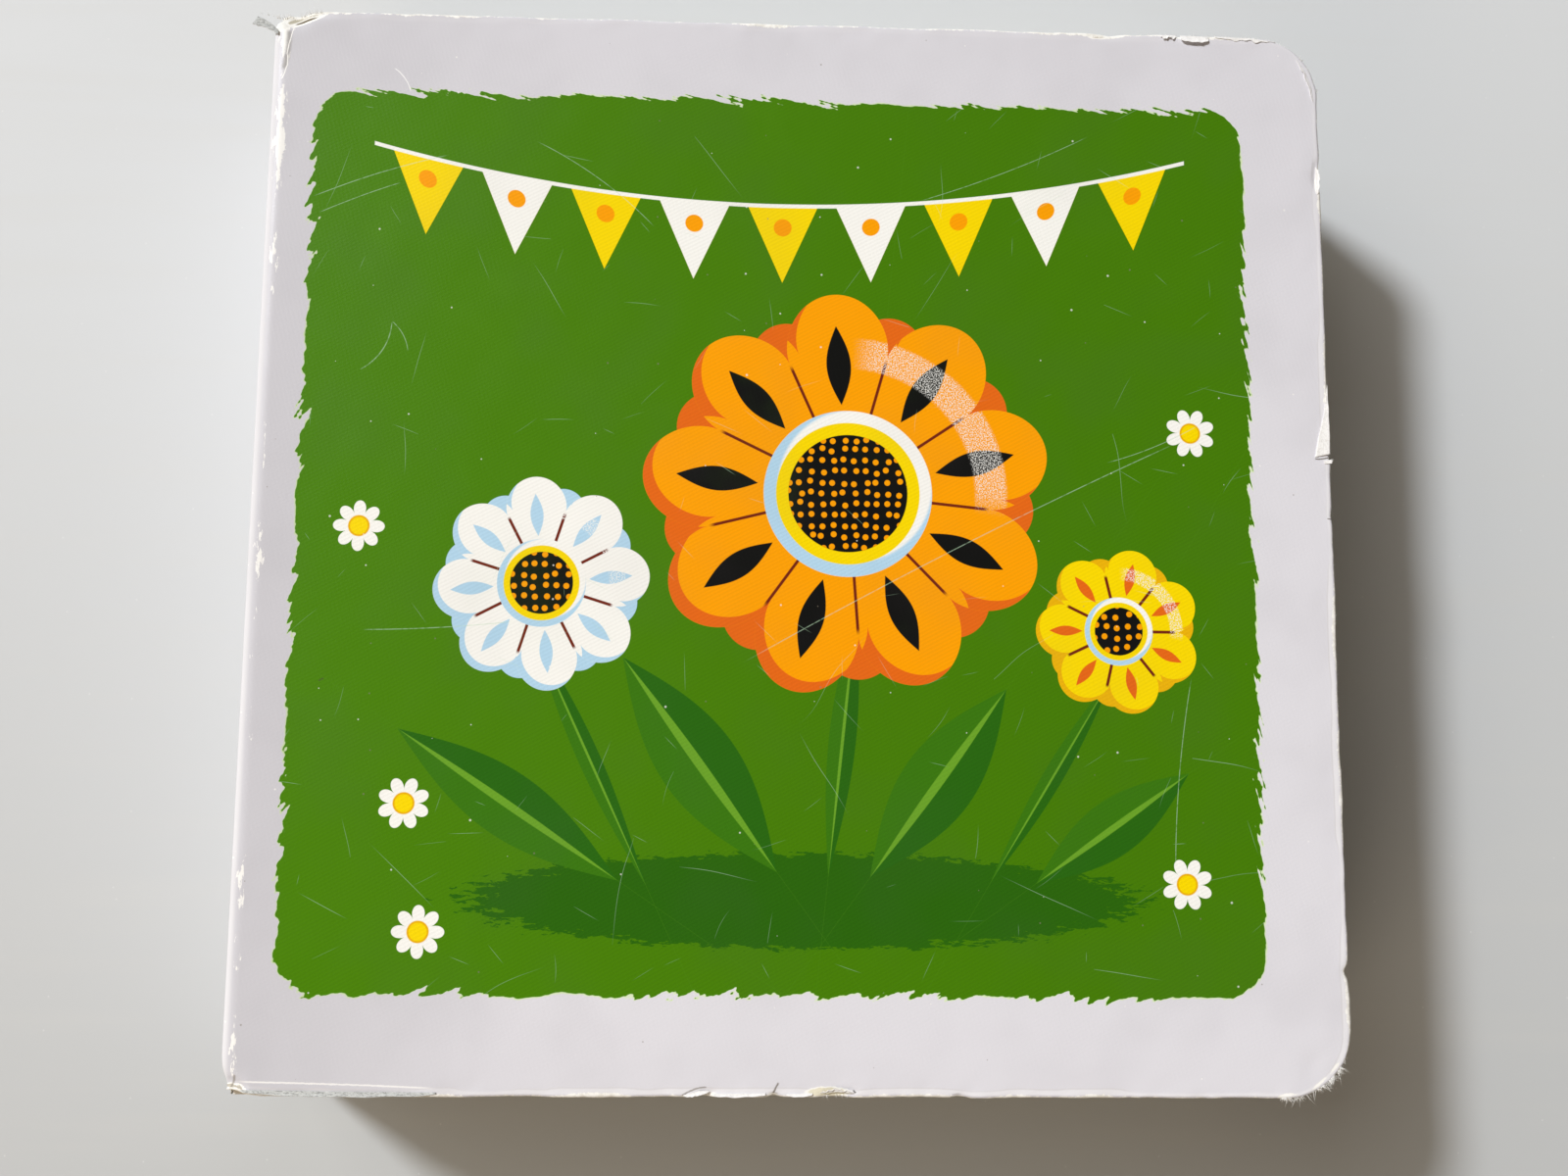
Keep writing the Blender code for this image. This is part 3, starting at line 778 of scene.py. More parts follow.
@effect
def strokes(point, spacing, length, width, share, seed, bend):
    """Short random lines: in each cell of a grid, one line of random place and turn, or none."""
    tree = point.tree
    bent = bend * 4.0
    at_x, at_y, _ = coordinates(point)
    at_x, at_y = at_x + bent, at_y - bent * 0.7
    cell_x, cell_y = (at_x / spacing), (at_y / spacing)
    key = place(tree, cell_x.floor(), cell_y.floor(), seed)
    chances = node(tree, "TexWhiteNoise", {"Vector": key}, output="Color")
    first, second, third = coordinates(chances)
    shift = (second - 0.5) * 0.5
    local_x = (cell_x.fraction() - 0.5 + shift) * spacing
    local_y = (cell_y.fraction() - 0.5 - shift) * spacing
    turn = first * math.pi
    cosine, sine = turn.cosine(), turn.sine()
    along = local_x * cosine + local_y * sine
    across = abs(local_y * cosine - local_x * sine)
    half = length * (third * 0.4 + 0.1)
    fade = (abs(along) / half).rise(1.0, 0.2)
    line = (across / width).rise(1.0, 0.1)
    chosen = node(tree, "TexWhiteNoise", {"Vector": place(tree, second, third, seed)}, output="Value")
    return {"mask": line * fade * (chosen.below(share)) * (first * 0.6 + 0.4)}


@effect
def scratch(point, from_x, from_y, to_x, to_y, bow, width, broken):
    """One long scratch: a line between two places that bows to one side and fades at its ends."""
    run_x, run_y = to_x - from_x, to_y - from_y
    length = hypot(run_x, run_y)
    way = way_from(point, from_x, from_y)
    along = dot(way, run_x / length / length, run_y / length / length)
    across = dot(way, -run_y / length, run_x / length)
    arch = along * along.inverse() * bow * 4.0
    line = abs(across - arch).rise(width, width * 0.1)
    return {"mask": line * abs(along - 0.5).rise(0.505, 0.4) * broken}


@effect
def specks(point, spacing, radius, share, seed):
    """Small round specks, one or none near each point of a loose grid."""
    tree = point.tree
    shifted = node(tree, "VectorMath", {0: point, 1: place(tree, seed, seed)}, operation="ADD")
    inputs = {"Vector": shifted, "Scale": spacing ** -1.0}
    cell = node(tree, "TexVoronoi", inputs, output="Distance", voronoi_dimensions="2D")
    chance = coordinates(Field(tree, cell.socket.node.outputs["Color"]))
    size = radius * (chance[1] * 0.8 + 0.3)
    return {"mask": (cell * spacing / size).rise(1.0, 0.5) * chance[0].below(share)}


@effect
def worn_rim(rim, reach, slow, fast):
    """Where handling has rubbed the film off: a ragged band along the trimmed edges.

    Its width follows slow and fast noise. Beside it the film has come loose from its board, and the
    dark line along the loose film's inner edge is painted shadow.
    """
    width = (slow.rise(0.42, 0.72) * 0.8 + 0.16 + (fast - 0.5) * 1.2) * reach
    loose = (slow.rise(0.3, 0.6) * 0.9 + 0.9) * reach
    pale = (rim - loose * 0.35).rise(-0.1, 0.15) * (loose - rim).rise(-0.25, 0.25)
    line = (abs(rim - loose) * -1.0 + 0.16).rise(0.0, 0.12) * slow.rise(0.36, 0.5)
    return {"mask": (width - rim).rise(-0.05, 0.07), "pale": pale, "line": line}


@effect
def bruise(point, x, y, radius_x, radius_y, turn, rough):
    """A torn or crushed spot: an ellipse with a ragged edge, and the rim of pale fibres round it."""
    way = way_from(point, x, y)
    cosine, sine = turn.cosine(), turn.sine()
    along = dot(way, cosine / radius_x, sine / radius_x)
    across = dot(way, -sine / radius_y, cosine / radius_y)
    far = (hypot(along, across).inverse() + rough * 1.1) * radius_y
    return {"core": far.rise(0.0, 0.14), "fringe": (far + 0.16).rise(0.0, 0.12)}


@effect
def film_relief(point, weave):
    """The height of the film in mm: a faint slanting weave of the plate, and slow unevenness."""
    x, y, _ = coordinates(point)
    first = ((x * -0.55 + y * 1.05) * (math.tau / 0.62)).sine()
    second = ((x * 1.1 + y * 0.3) * (math.tau / 0.71)).sine()
    slow = noise(point, 0.12, detail=1.0, kind="2D") * 0.045
    fine = noise(point, 2.6, detail=1.0, kind="2D") * 0.007
    return {"height": (first + second) * weave + slow + fine, "threads": first * 0.5 + 0.5}


@effect
def fibres(point, ply):
    """Cut board: two half sheets with a glue line between, whose ply runs from 0 to 1.

    The masks are the glue line, the denser faces and torn fibres.
    """
    tree = point.tree
    jitter = (noise(point, 0.7, detail=3.0) - 0.5) * 0.16
    at = ply + jitter
    glue = (abs(at - 0.5) * -1.0 + 0.045).rise(-0.03, 0.03)
    face = (abs(at - 0.5) - 0.4).rise(-0.04, 0.04)
    flat = node(tree, "VectorMath", {0: point, 1: (1.0, 1.0, 5.0)}, operation="MULTIPLY")
    torn = noise(flat, 1.9, detail=4.0, roughness=0.75)
    return {"glue": glue, "face": face, "torn": torn}


def spot(shares):
    """A place in the picture, in mm, from shares of its side counted from its lower left corner."""
    centre = [(low + high) / 2 for low, high in zip(PANEL_LOW, PANEL_HIGH)]
    return [c + (share - 0.5) * PICTURE_SIDE for c, share in zip(centre, shares)]


PANEL_GREEN = (67, 121, 0)
PANEL_GREEN_LEFT = (72, 127, 0)
HALO = (212, 232, 180)
GROUND_GREEN = (40, 98, 4)
LEAF_GREEN = (38, 100, 10)
LEAF_LIT = (56, 116, 10)
VEIN_GREEN = (104, 160, 40)
ORANGE = (249, 160, 0)
DEEP_ORANGE = (226, 104, 22)
YELLOW = (246, 216, 0)
DEEP_YELLOW = (232, 178, 8)
PAPER_WHITE = (246, 246, 242)
PALE_BLUE = (178, 214, 238)
MAROON = (112, 34, 14)
BLACK = (6, 6, 4)

FLAG_ENDS = (0.05, 0.95)
FLAG_TOP = 0.935
FLAG_SAG = 0.06
FLAG_DROP = 0.09
FLAG_COUNT = 9
FLAG_WIDTH = 0.8
GROUND_PLACE, GROUND_RADII = (0.53, 0.1), (0.36, 0.05)
DAISIES = ((0.1, 0.2), (0.12, 0.065), (0.945, 0.12), (0.04, 0.5), (0.96, 0.62))
DAISY_RADIUS, DAISY_PETALS = 0.028, 8
# Stems and leaves: foot, tip, width
BLADES = (
    ((0.555, 0.125), (0.585, 0.42), 0.03),
    ((0.36, 0.115), (0.23, 0.39), 0.024),
    ((0.73, 0.12), (0.87, 0.35), 0.022),
    ((0.5, 0.13), (0.33, 0.36), 0.085),
    ((0.6, 0.125), (0.75, 0.33), 0.08),
    ((0.33, 0.12), (0.09, 0.28), 0.07),
    ((0.78, 0.12), (0.95, 0.24), 0.06),
)
# Flowers: place, radius, petals, turn, and colours of the petals, their shade and the streaks
FLOWERS = (
    ((0.24, 0.44), 0.118, 8, 0.3, PAPER_WHITE, PALE_BLUE, PALE_BLUE),
    ((0.875, 0.395), 0.092, 7, 0.9, YELLOW, DEEP_YELLOW, DEEP_ORANGE),
    ((0.575, 0.545), 0.228, 9, 0.1, ORANGE, DEEP_ORANGE, BLACK),
)


def picture(point):
    """The print: flowers on a patch of ground under a string of flags, on brushed green."""
    tree = point.tree
    panel = brushed_panel(point, *PANEL_LOW, *PANEL_HIGH, PANEL_CORNER, BRUSH_REACH, BRUSH_TOOTH)
    leftward = (coordinates(point)[0] / HALF_WIDTH).rise(0.6, -1.0)
    radii = [share * PICTURE_SIDE for share in GROUND_RADII]
    bristles = node(tree, "VectorMath", {0: point, 1: (0.35, 1.5, 1.0)}, operation="MULTIPLY")
    rough = (noise(bristles, 0.9, detail=3.0, roughness=0.7, kind="2D") - 0.5) * 3.6
    ground = brushed_disc(point, *spot(GROUND_PLACE), *radii, rough)
    colour = layered(ink(*PANEL_GREEN), (leftward, PANEL_GREEN_LEFT), (ground, GROUND_GREEN))
    grid = {"Vector": point, "Scale": 0.62, "Randomness": 0.35}
    seeds = node(tree, "TexVoronoi", grid, voronoi_dimensions="2D").rise(0.3, 0.24)
    grain = noise(point, 5.0, detail=1.0, kind="2D").rise(0.46, 0.6)
    for foot, tip, width in BLADES:
        foot, tip = spot(foot), spot(tip)
        run = [b - a for a, b in zip(foot, tip)]
        turn = math.atan2(run[1], run[0])
        parts = leaf(point, *foot, turn, math.hypot(*run), width * PICTURE_SIDE)
        for part, screen in (("blade", LEAF_GREEN), ("lit", LEAF_LIT), ("vein", VEIN_GREEN)):
            colour = layered(colour, (parts[part], screen))
    for centre, radius, petals, turn, bright, shade, streak in FLOWERS:
        parts = flower(point, *spot(centre), radius * PICTURE_SIDE, petals, turn, seeds, grain)
        colour = layered(
            colour,
            (parts["behind"], shade),
            (parts["petals"], bright),
            (parts["shade"], shade),
            (parts["crease"] * parts["petals"], MAROON),
            (parts["streak"], streak),
            (parts["sheen"] * 0.7, PAPER_WHITE),
            (parts["ring"], PAPER_WHITE),
            (parts["ring_shade"], PALE_BLUE),
            (parts["rim"], YELLOW),
            (parts["eye"], BLACK),
            (parts["seeds"], ORANGE),
        )
    for i, centre in enumerate(DAISIES):
        parts = daisy(point, *spot(centre), DAISY_RADIUS * PICTURE_SIDE, DAISY_PETALS, i * 0.4)
        for part, screen in (("petals", PAPER_WHITE), ("shade", DEEP_YELLOW), ("middle", YELLOW)):
            colour = layered(colour, (parts[part], screen))
    (left, top), (right, _) = (spot((share, FLAG_TOP)) for share in FLAG_ENDS)
    sag, drop = FLAG_SAG * PICTURE_SIDE, FLAG_DROP * PICTURE_SIDE
    string = flags(point, left, right, top, sag, drop, FLAG_COUNT, FLAG_WIDTH)
    colour = layered(
        colour,
        (string["cloth"], YELLOW),
        (string["cloth"] * string["odd"], PAPER_WHITE),
        (string["cloth"] * string["spot"], ORANGE),
        (string["string"], PAPER_WHITE),
    )
    return colour, panel


BORDER = (219, 218, 225)
WORN_PAPER = (246, 245, 241)
CORE = (226, 222, 206)
GLUE = (196, 190, 172)
DIRT = (128, 120, 104)
# Torn and crushed spots: place, half sizes, turn in degrees, raggedness and bottom colour
FRONT_BRUISES = (
    (-78.5, 77.8, 1.9, 0.85, 35, 1.0, (230, 230, 226)),
    (-75.6, 78.6, 2.6, 0.75, 16, 0.5, (190, 184, 166)),
    # the dark bottom of this spot is painted shade in the hollow at the head of the fold
    (-75.2, 78.3, 2.1, 0.36, 20, 0.35, (112, 102, 82)),
    (-78.2, -79.0, 1.6, 0.8, 0, 0.8, (186, 180, 168)),
    (46.0, 79.3, 1.3, 0.28, 0, 0.8, (188, 178, 162)),
    (4.7, -79.2, 2.9, 0.72, 0, 0.7, (228, 222, 200)),
    (79.6, 57.0, 1.6, 0.34, 84, 0.8, (244, 243, 240)),
    (77.4, -75.6, 0.5, 0.12, 50, 1.8, (250, 250, 250)),
    (75.0, -77.9, 0.7, 0.12, 40, 1.8, (250, 250, 250)),
    (70.2, -79.5, 0.9, 0.2, 8, 1.8, (250, 250, 250)),
)
# Drawn-in marks: from, to, bow, half width, colour and strength. They are the torn film at
# the head of the fold with the hollow beside it, creases at the tail, and scratches. The wide
# grey mark beside the torn film is painted shadow in the hollow, and the dark line under the
# fore edge flap's lower end is painted shadow too.
FILM_MARKS = (
    # painted shadow in the hollow beside the torn film
    ((-77.75, 76.9), (-78.35, 70.2), 0.3, 0.66, (160, 157, 156), 0.88),
    ((-77.0, 77.3), (-77.9, 72.6), -0.1, 0.13, (252, 251, 248), 1.0),
    ((-77.8, 73.0), (-78.6, 68.7), 0.35, 0.14, (252, 251, 248), 1.0),
    ((-77.7, 77.0), (-71.6, 79.9), -0.2, 0.22, (252, 251, 247), 1.0),
    ((-78.0, -77.9), (-50.0, -78.75), 0.1, 0.2, (246, 245, 243), 0.85),
    ((-76.5, -79.0), (-52.0, -79.4), 0.1, 0.5, (196, 191, 190), 0.45),
    ((-77.9, -76.9), (-78.5, -78.9), 0.1, 0.3, (128, 120, 108), 0.7),
    ((-2.2, -77.8), (-3.3, -80.0), 0.0, 0.22, (112, 104, 92), 0.85),
    ((-16.0, -79.8), (-12.2, -78.5), 0.3, 0.2, (136, 130, 124), 0.8),
    ((8.3, -78.9), (8.7, -79.3), 0.0, 0.16, (40, 36, 30), 0.9),
    ((79.1, 4.1), (80.1, 4.0), 0.0, 0.12, (92, 84, 74), 0.9),
    # painted shadow under the lower end of the fore edge flap
    ((77.5, 13.2), (80.1, 13.6), -0.2, 0.17, (104, 97, 88), 0.9),
    ((-68.9, -22.0), (-68.1, -21.6), 0.0, 0.14, (70, 62, 52), 0.7),
    ((-61.8, 71.1), (-59.1, 67.3), 0.45, 0.14, (250, 250, 250), 0.8),
)
SCRATCHES = (  # from, to, bow and half width in mm
    ((-7.9, -18.6), (57.0, 15.4), 0.8, 0.1),
    ((-63.0, -14.5), (-41.0, -13.0), -0.3, 0.1),
    ((-65.0, 24.0), (-60.5, 31.5), -1.2, 0.12),
    ((-60.5, 31.5), (-58.0, 27.0), 0.5, 0.09),
    ((-73.0, 50.5), (-53.0, 57.5), 0.5, 0.1),
    ((-72.0, 48.0), (-60.0, 53.0), 0.2, 0.09),
    ((46.0, 12.0), (60.0, 18.0), -0.5, 0.08),
    ((55.0, -48.0), (58.0, -20.0), 0.6, 0.09),
    ((-40.0, 60.0), (-22.0, 47.0), 1.0, 0.08),
    ((18.0, 52.0), (44.0, 63.0), -0.6, 0.08),
)


def attribute(tree, name):
    """The values that a mesh holds for its points under that name."""
    return node(tree, "Attribute", {}, output="Fac", attribute_name=name)


def cut_board(point, ply):
    """The colour and height of torn or cut board: cream core, glue line, fibres and some dirt."""
    parts = fibres(point, ply)
    grime = noise(point, 0.09, detail=2.0).rise(0.56, 0.8)
    colour = layered(
        ink(*CORE),
        (parts["face"], WORN_PAPER),
        (parts["glue"] * 0.7, GLUE),
        (parts["torn"].rise(0.35, 0.75) * 0.5, WORN_PAPER),
        (grime * 0.22, DIRT),
    )
    return colour, parts["torn"] * 0.12


FILM_WEAVE = 0.0012  # mm high
RIM_WEAR = 0.75  # mm, about how far the film is rubbed off along the edges


def laminate(point, colour, seed, field=None, bruises=(), film_marks=(), folded=True):
    """Film over the given print, with its scratches, haze, specks, scuffed fold and worn rim,
    with painted light as well: a painted highlight on the fold's outer rounding, a painted
    shadow along the inner edge of loose film, and painted shade on the front's border.

    It takes X and Y of the point for the way along the film, and pays no heed to Z.
    """
    tree = point.tree
    x, y, _ = coordinates(point)
    fast = noise(point, 1.1, detail=3.0, roughness=0.7, kind="2D")
    slow = noise(point, 0.055, detail=2.0, roughness=0.6, kind="2D")
    bend = noise(point, 0.05, detail=1.0, kind="2D")
    relief = film_relief(point, FILM_WEAVE)
    # Spacing, length and half width in mm, and the share of places that have a scratch
    lines = strokes(point, 15.0, 20.0, 0.065, 0.4, seed, bend)
    short = strokes(point, 6.0, 7.0, 0.055, 0.3, seed + 4.0, bend)
    marks = lines.at_least(short * 0.8)
    if field is not None:
        colour = layered(colour, (relief["threads"] * field * 0.06, BLACK))
        broken = fast.rise(0.3, 0.55) * 0.7 + 0.3
        for start, end, bow, width in SCRATCHES:
            marks = marks.at_least(scratch(point, *start, *end, bow, width, broken) * 1.3)
        colour = layered(colour, (marks.at_most(1.0) * field * 0.4, (160, 208, 160)))
        cloudy = noise(point, 0.035, detail=4.0, roughness=0.65, kind="2D").rise(0.52, 0.8)
        upper = (y - x * 0.6).rise(0.0, 90.0) * 0.75 + 0.25
        colour = layered(colour, (cloudy * upper * field * 0.11, (96, 150, 36)))
        # painted shade: the border round the picture darkens towards the spine, and a little towards
        # the head
        thumbed = x.rise(-25.0, -78.0) * (y.rise(80.0, 0.0) * 0.09 + 0.09) + y.rise(0.0, 80.0) * 0.05
        colour = layered(colour, (thumbed * field.inverse(), BLACK))
    colour = layered(colour, (marks.at_most(1.0) * 0.12, (236, 236, 238)))
    # Spacing and radius in mm, and the share of places that have a speck
    white = specks(point, 5.5, 0.2, 0.14, seed)
    dark = specks(point, 8.0, 0.17, 0.2, seed + 11.0)
    colour = layered(colour, (white * 0.6, WORN_PAPER), (dark * 0.55, DIRT))
    colour = layered(colour, (slow.rise(0.4, 0.8) * 0.06, (70, 62, 66)))
    edge = worn_rim(attribute(tree, "rim"), RIM_WEAR, slow, fast)
    lee = (x - y).rise(-25.0, 70.0)
    colour = layered(colour, (edge["pale"] * (lee * 0.3 + 0.08), (242, 241, 242)))
    # painted shadow along the loose film's inner edge, strongest on the lee side, away from the
    # window
    colour = layered(colour, (edge["line"] * lee * 0.16, (158, 152, 146)))
    bare = edge["mask"]
    if folded:
        fold_away = abs(x - (FRONT_LOW[0] + FOLD_RUN * 0.85))
        run = place(tree, x * 1.5, y * 0.35)
        chafed = noise(run, 1.0, detail=4.0, roughness=0.7, kind="2D")
        thumbs = y.rise(20.0, 66.0) * 0.1 - fold_away * 0.26 - 0.07
        fold = (chafed - 0.5 + (slow - 0.5) * 1.1 + thumbs).rise(0.0, 0.06)
        # painted highlight: the fold's outer rounding, which faces the window, is drawn lighter
        outer_fold = (x - (FRONT_LOW[0] + FOLD_RUN * 0.45)).rise(0.4, -0.4)
        colour = layered(colour, (outer_fold * 0.3, (246, 245, 243)), (fold * 0.85, WORN_PAPER))
    for *place_and_size, turn, ragged, shade in bruises:
        torn = bruise(point, *place_and_size, math.radians(turn), (fast - 0.5) * ragged)
        colour = layered(colour, (torn["fringe"], WORN_PAPER), (torn["core"], shade))
    sway = (fast - 0.5) * 0.25
    for start, end, bow, width, shade, strength in film_marks:
        colour = layered(colour, (scratch(point, *start, *end, sway + bow, width, strength), shade))
    colour = paint(colour, bare, layered(ink(*WORN_PAPER), (fast.rise(0.6, 0.4) * 0.35, GLUE)))
    rough = (marks * 0.2 + slow * 0.12 + 0.27).at_least(bare * 0.85)
    return colour, rough, relief["height"]


def printed_film(point):
    colour, panel = picture(point)
    base = paint(ink(*BORDER), panel["halo"], ink(*HALO))
    colour = paint(base, panel["field"], colour)
    worn = dict(bruises=FRONT_BRUISES, film_marks=FILM_MARKS)
    return laminate(point, colour, 3.0, field=panel["field"], **worn)


def cut_edge(point):
    colour, height = cut_board(point, attribute(point.tree, "ply"))
    return colour, None, height


PASTED_PAGE = (232, 229, 221)
PAGE_WEAVE = FILM_WEAVE / 2


def pasted_page(point):
    """The half sheet pasted inside the cover: smooth white paper, plain, a little handled."""
    handled = noise(point, 0.04, detail=3.0, roughness=0.6).rise(0.45, 0.8)
    spots = specks(point, 12.0, 0.25, 0.2, 5.0)
    colour = layered(ink(*PASTED_PAGE), (handled * 0.25, (212, 206, 192)), (spots * 0.5, DIRT))
    relief = film_relief(point, PAGE_WEAVE)
    return colour, handled * 0.15 + 0.34, relief["height"]


edge_finish = finish_of("cut_board_edge", 0.9, 0.1, cut_edge)
page_finish = finish_of("smooth_page", 0.4, 0.15, pasted_page)


def build_cover(name, replaced, side, middle_z, lines_across, lines_along, wear, film):
    """A cover board placed on its hinge's height, mirrored top to bottom where the side is -1."""
    points, faces, kinds, values = cover_board(lines_across, lines_along, wear)
    first, faces, kinds = joined(points, faces, kinds)
    points = points[first] * (1, 1, side) + (0, 0, middle_z)
    values = {label: value[first] for label, value in values.items()}
    if side < 0:
        faces = [face[::-1] for face in faces]
    finishes = [film, edge_finish, page_finish]
    made = mesh_object(name, points, faces, finishes, kinds, values)
    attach(made, replaced)
    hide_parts(replaced)


front_across = crowded(0, 1, COLUMNS, ((0, 0.02, 3), (1, 0.03, 3.5), (0.55, 0.12, 0.8)))
front_along = crowded(
    CORNER_RADIUS - HALF_HEIGHT,
    HALF_HEIGHT - CORNER_RADIUS,
    ROWS - 2 * CORNER_STEPS,
    ((58, 3, 2), (17, 6, 1.5), (-62, 2, 2)),
)
build_cover(
    "printed_front_cover", "front_cover", 1, FRONT_HINGE_Z, front_across, front_along, front_wear,
    finish_of("printed_film", 0.3, 0.12, printed_film),
)


# Loose film and torn fibres on the front cover
# Film and printed paper that came off the board at its worst worn places, still hanging on
# by one side, and fibres of the board pulled out at its corners.
FILM_THICKNESS = 0.09
TOP = FRONT_HIGH[2]


def unit(ways):
    """Ways in space or in a plane, shortened or stretched to a length of one."""
    return ways / np.maximum(np.linalg.norm(ways, axis=-1, keepdims=True), 1e-9)


def thin_shell(points, thickness):
    """A closed shell about a grid of points, half its thickness to either side of it.

    The sides are moved along the cross product of the grid's two slopes, and a ring of faces
    closes the border. The thickness is a number, or one for each point.
    """
    rows, columns = points.shape[:2]
    slope_down = np.gradient(points, axis=0)
    slope_across = np.gradient(points, axis=1)
    outward = unit(np.cross(slope_across, slope_down))
    half = (np.broadcast_to(thickness, (rows, columns)) / 2)[..., None]
    sides = np.concatenate([points + outward * half, points - outward * half]).reshape(-1, 3)
    count = rows * columns
    number = np.arange(count).reshape(rows, columns)
    border = np.concatenate([number[0, :-1], number[:-1, -1], number[-1, :0:-1], number[:0:-1, 0]])
    after = np.roll(border, -1)
    ring = np.stack([border, border + count, after + count, after], axis=-1)
    faces = [grid_faces(0, rows, columns), grid_faces(count, rows, columns, flip=True), ring]
    kinds = np.concatenate([np.full(len(part), i) for i, part in enumerate(faces)])
    return sides, np.concatenate(faces), kinds


def film_underside(point):
    """Paper torn from the board: off-white fibres, a little grey where it was rubbed."""
    torn = noise(point, 2.4, detail=3.0, roughness=0.7)
    colour = paint(ink(240, 239, 238), torn.rise(0.45, 0.75) * 0.5, ink(206, 202, 198))
    return colour, None, torn * 0.08


def film_outside(point):
    """The border's printed film where it has come off, whitened by its creases."""
    worn = noise(point, 1.4, detail=3.0, roughness=0.7)
    colour = paint(ink(236, 234, 236), worn.rise(0.5, 0.7) * 0.6, ink(*WORN_PAPER))
    return colour, worn * 0.3 + 0.3, worn * 0.05


def soiled_film(point):
    """Film that was bent over and over: greyed, with darker lines where it cracked."""
    x, y, z = coordinates(point)
    worn = noise(place(point.tree, x * 0.7, y * 1.8, z), 2.6, detail=3.0, roughness=0.7)
    colour = paint(ink(198, 201, 200), worn.rise(0.5, 0.6) * 0.8, ink(142, 144, 143))
    return paint(colour, worn.rise(0.4, 0.3) * 0.5, ink(*WORN_PAPER)), None, worn * 0.05


def fibre_paper(point):
    """Single paper fibres: white, a few of them grey."""
    grey = noise(point, 1.2).rise(0.5, 0.7) * 0.25
    return paint(ink(252, 252, 250), grey, ink(200, 196, 188)), None, None


loose_finishes = [
    finish_of("loose_film", 0.4, 0.12, film_outside),
    finish_of("torn_paper", 0.9, 0.1, film_underside),
    finish_of("torn_paper_edge", 0.9, 0.1, film_underside),
]
soiled_finishes = [finish_of("soiled_film", 0.6, 0.1, soiled_film)] * 2 + loose_finishes[2:]
STRIP_STEPS = 56
STRIP_ROWS = 12


def along_line(line, count):
    """Points at equal steps along a line through the given places, and the leftward normals."""
    line = np.array(line, dtype=float)
    run = np.concatenate([[0], np.cumsum(np.linalg.norm(np.diff(line, axis=0), axis=1))])
    steps = np.linspace(0, run[-1], count)
    points = np.stack([np.interp(steps, run, line[:, k]) for k in range(2)], axis=-1)
    slope = unit(np.gradient(points, axis=0))
    return points, np.stack([-slope[:, 1], slope[:, 0]], axis=-1)


def loose_strip(
    name, line, free, lift, grown=0.0, raggedness=0.2, taper=0.5, seed=0, outside=0,
    finishes=loose_finishes,
):
    """Film hanging on by a line on the cover, its free side lifted.

    The free side is a line of its own, or lies a given width from the first, swelling along
    it as a sine raised to the taper. A ripple makes it ragged. Its height grows with the
    square of the distance across, and by a power of the distance along.
    """
    points, normals = along_line(line, STRIP_STEPS)
    along = np.linspace(0, 1, len(points))[:, None]
    across = np.linspace(0, 1, STRIP_ROWS)[None, :]
    swell = np.sin(np.pi * np.clip(along, 0.004, 0.996)) ** taper
    if isinstance(free, tuple):
        side = along_line(free, STRIP_STEPS)[0] - points
        swell = np.ones_like(along)
    else:
        side = normals * free * swell
    side = side * (1 + raggedness * ripple(along * 40, along * 0, 9, seed))
    up = 0.03 + lift * swell * across**2 * along**grown
    x = points[:, 0:1] + side[:, 0:1] * across
    y = points[:, 1:2] + side[:, 1:2] * across
    z = TOP + up + 0.04 * ripple(x, y, 2.5, seed + 1) * across
    thin = FILM_THICKNESS * np.minimum(1, 0.25 + 6 * np.minimum(along, 1 - along))
    shell, faces, kinds = thin_shell(np.stack([x, y, z], axis=-1), thin)
    made = mesh_object(name, shell, faces, finishes, (kinds + outside) % 3)
    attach(made, "front_cover")


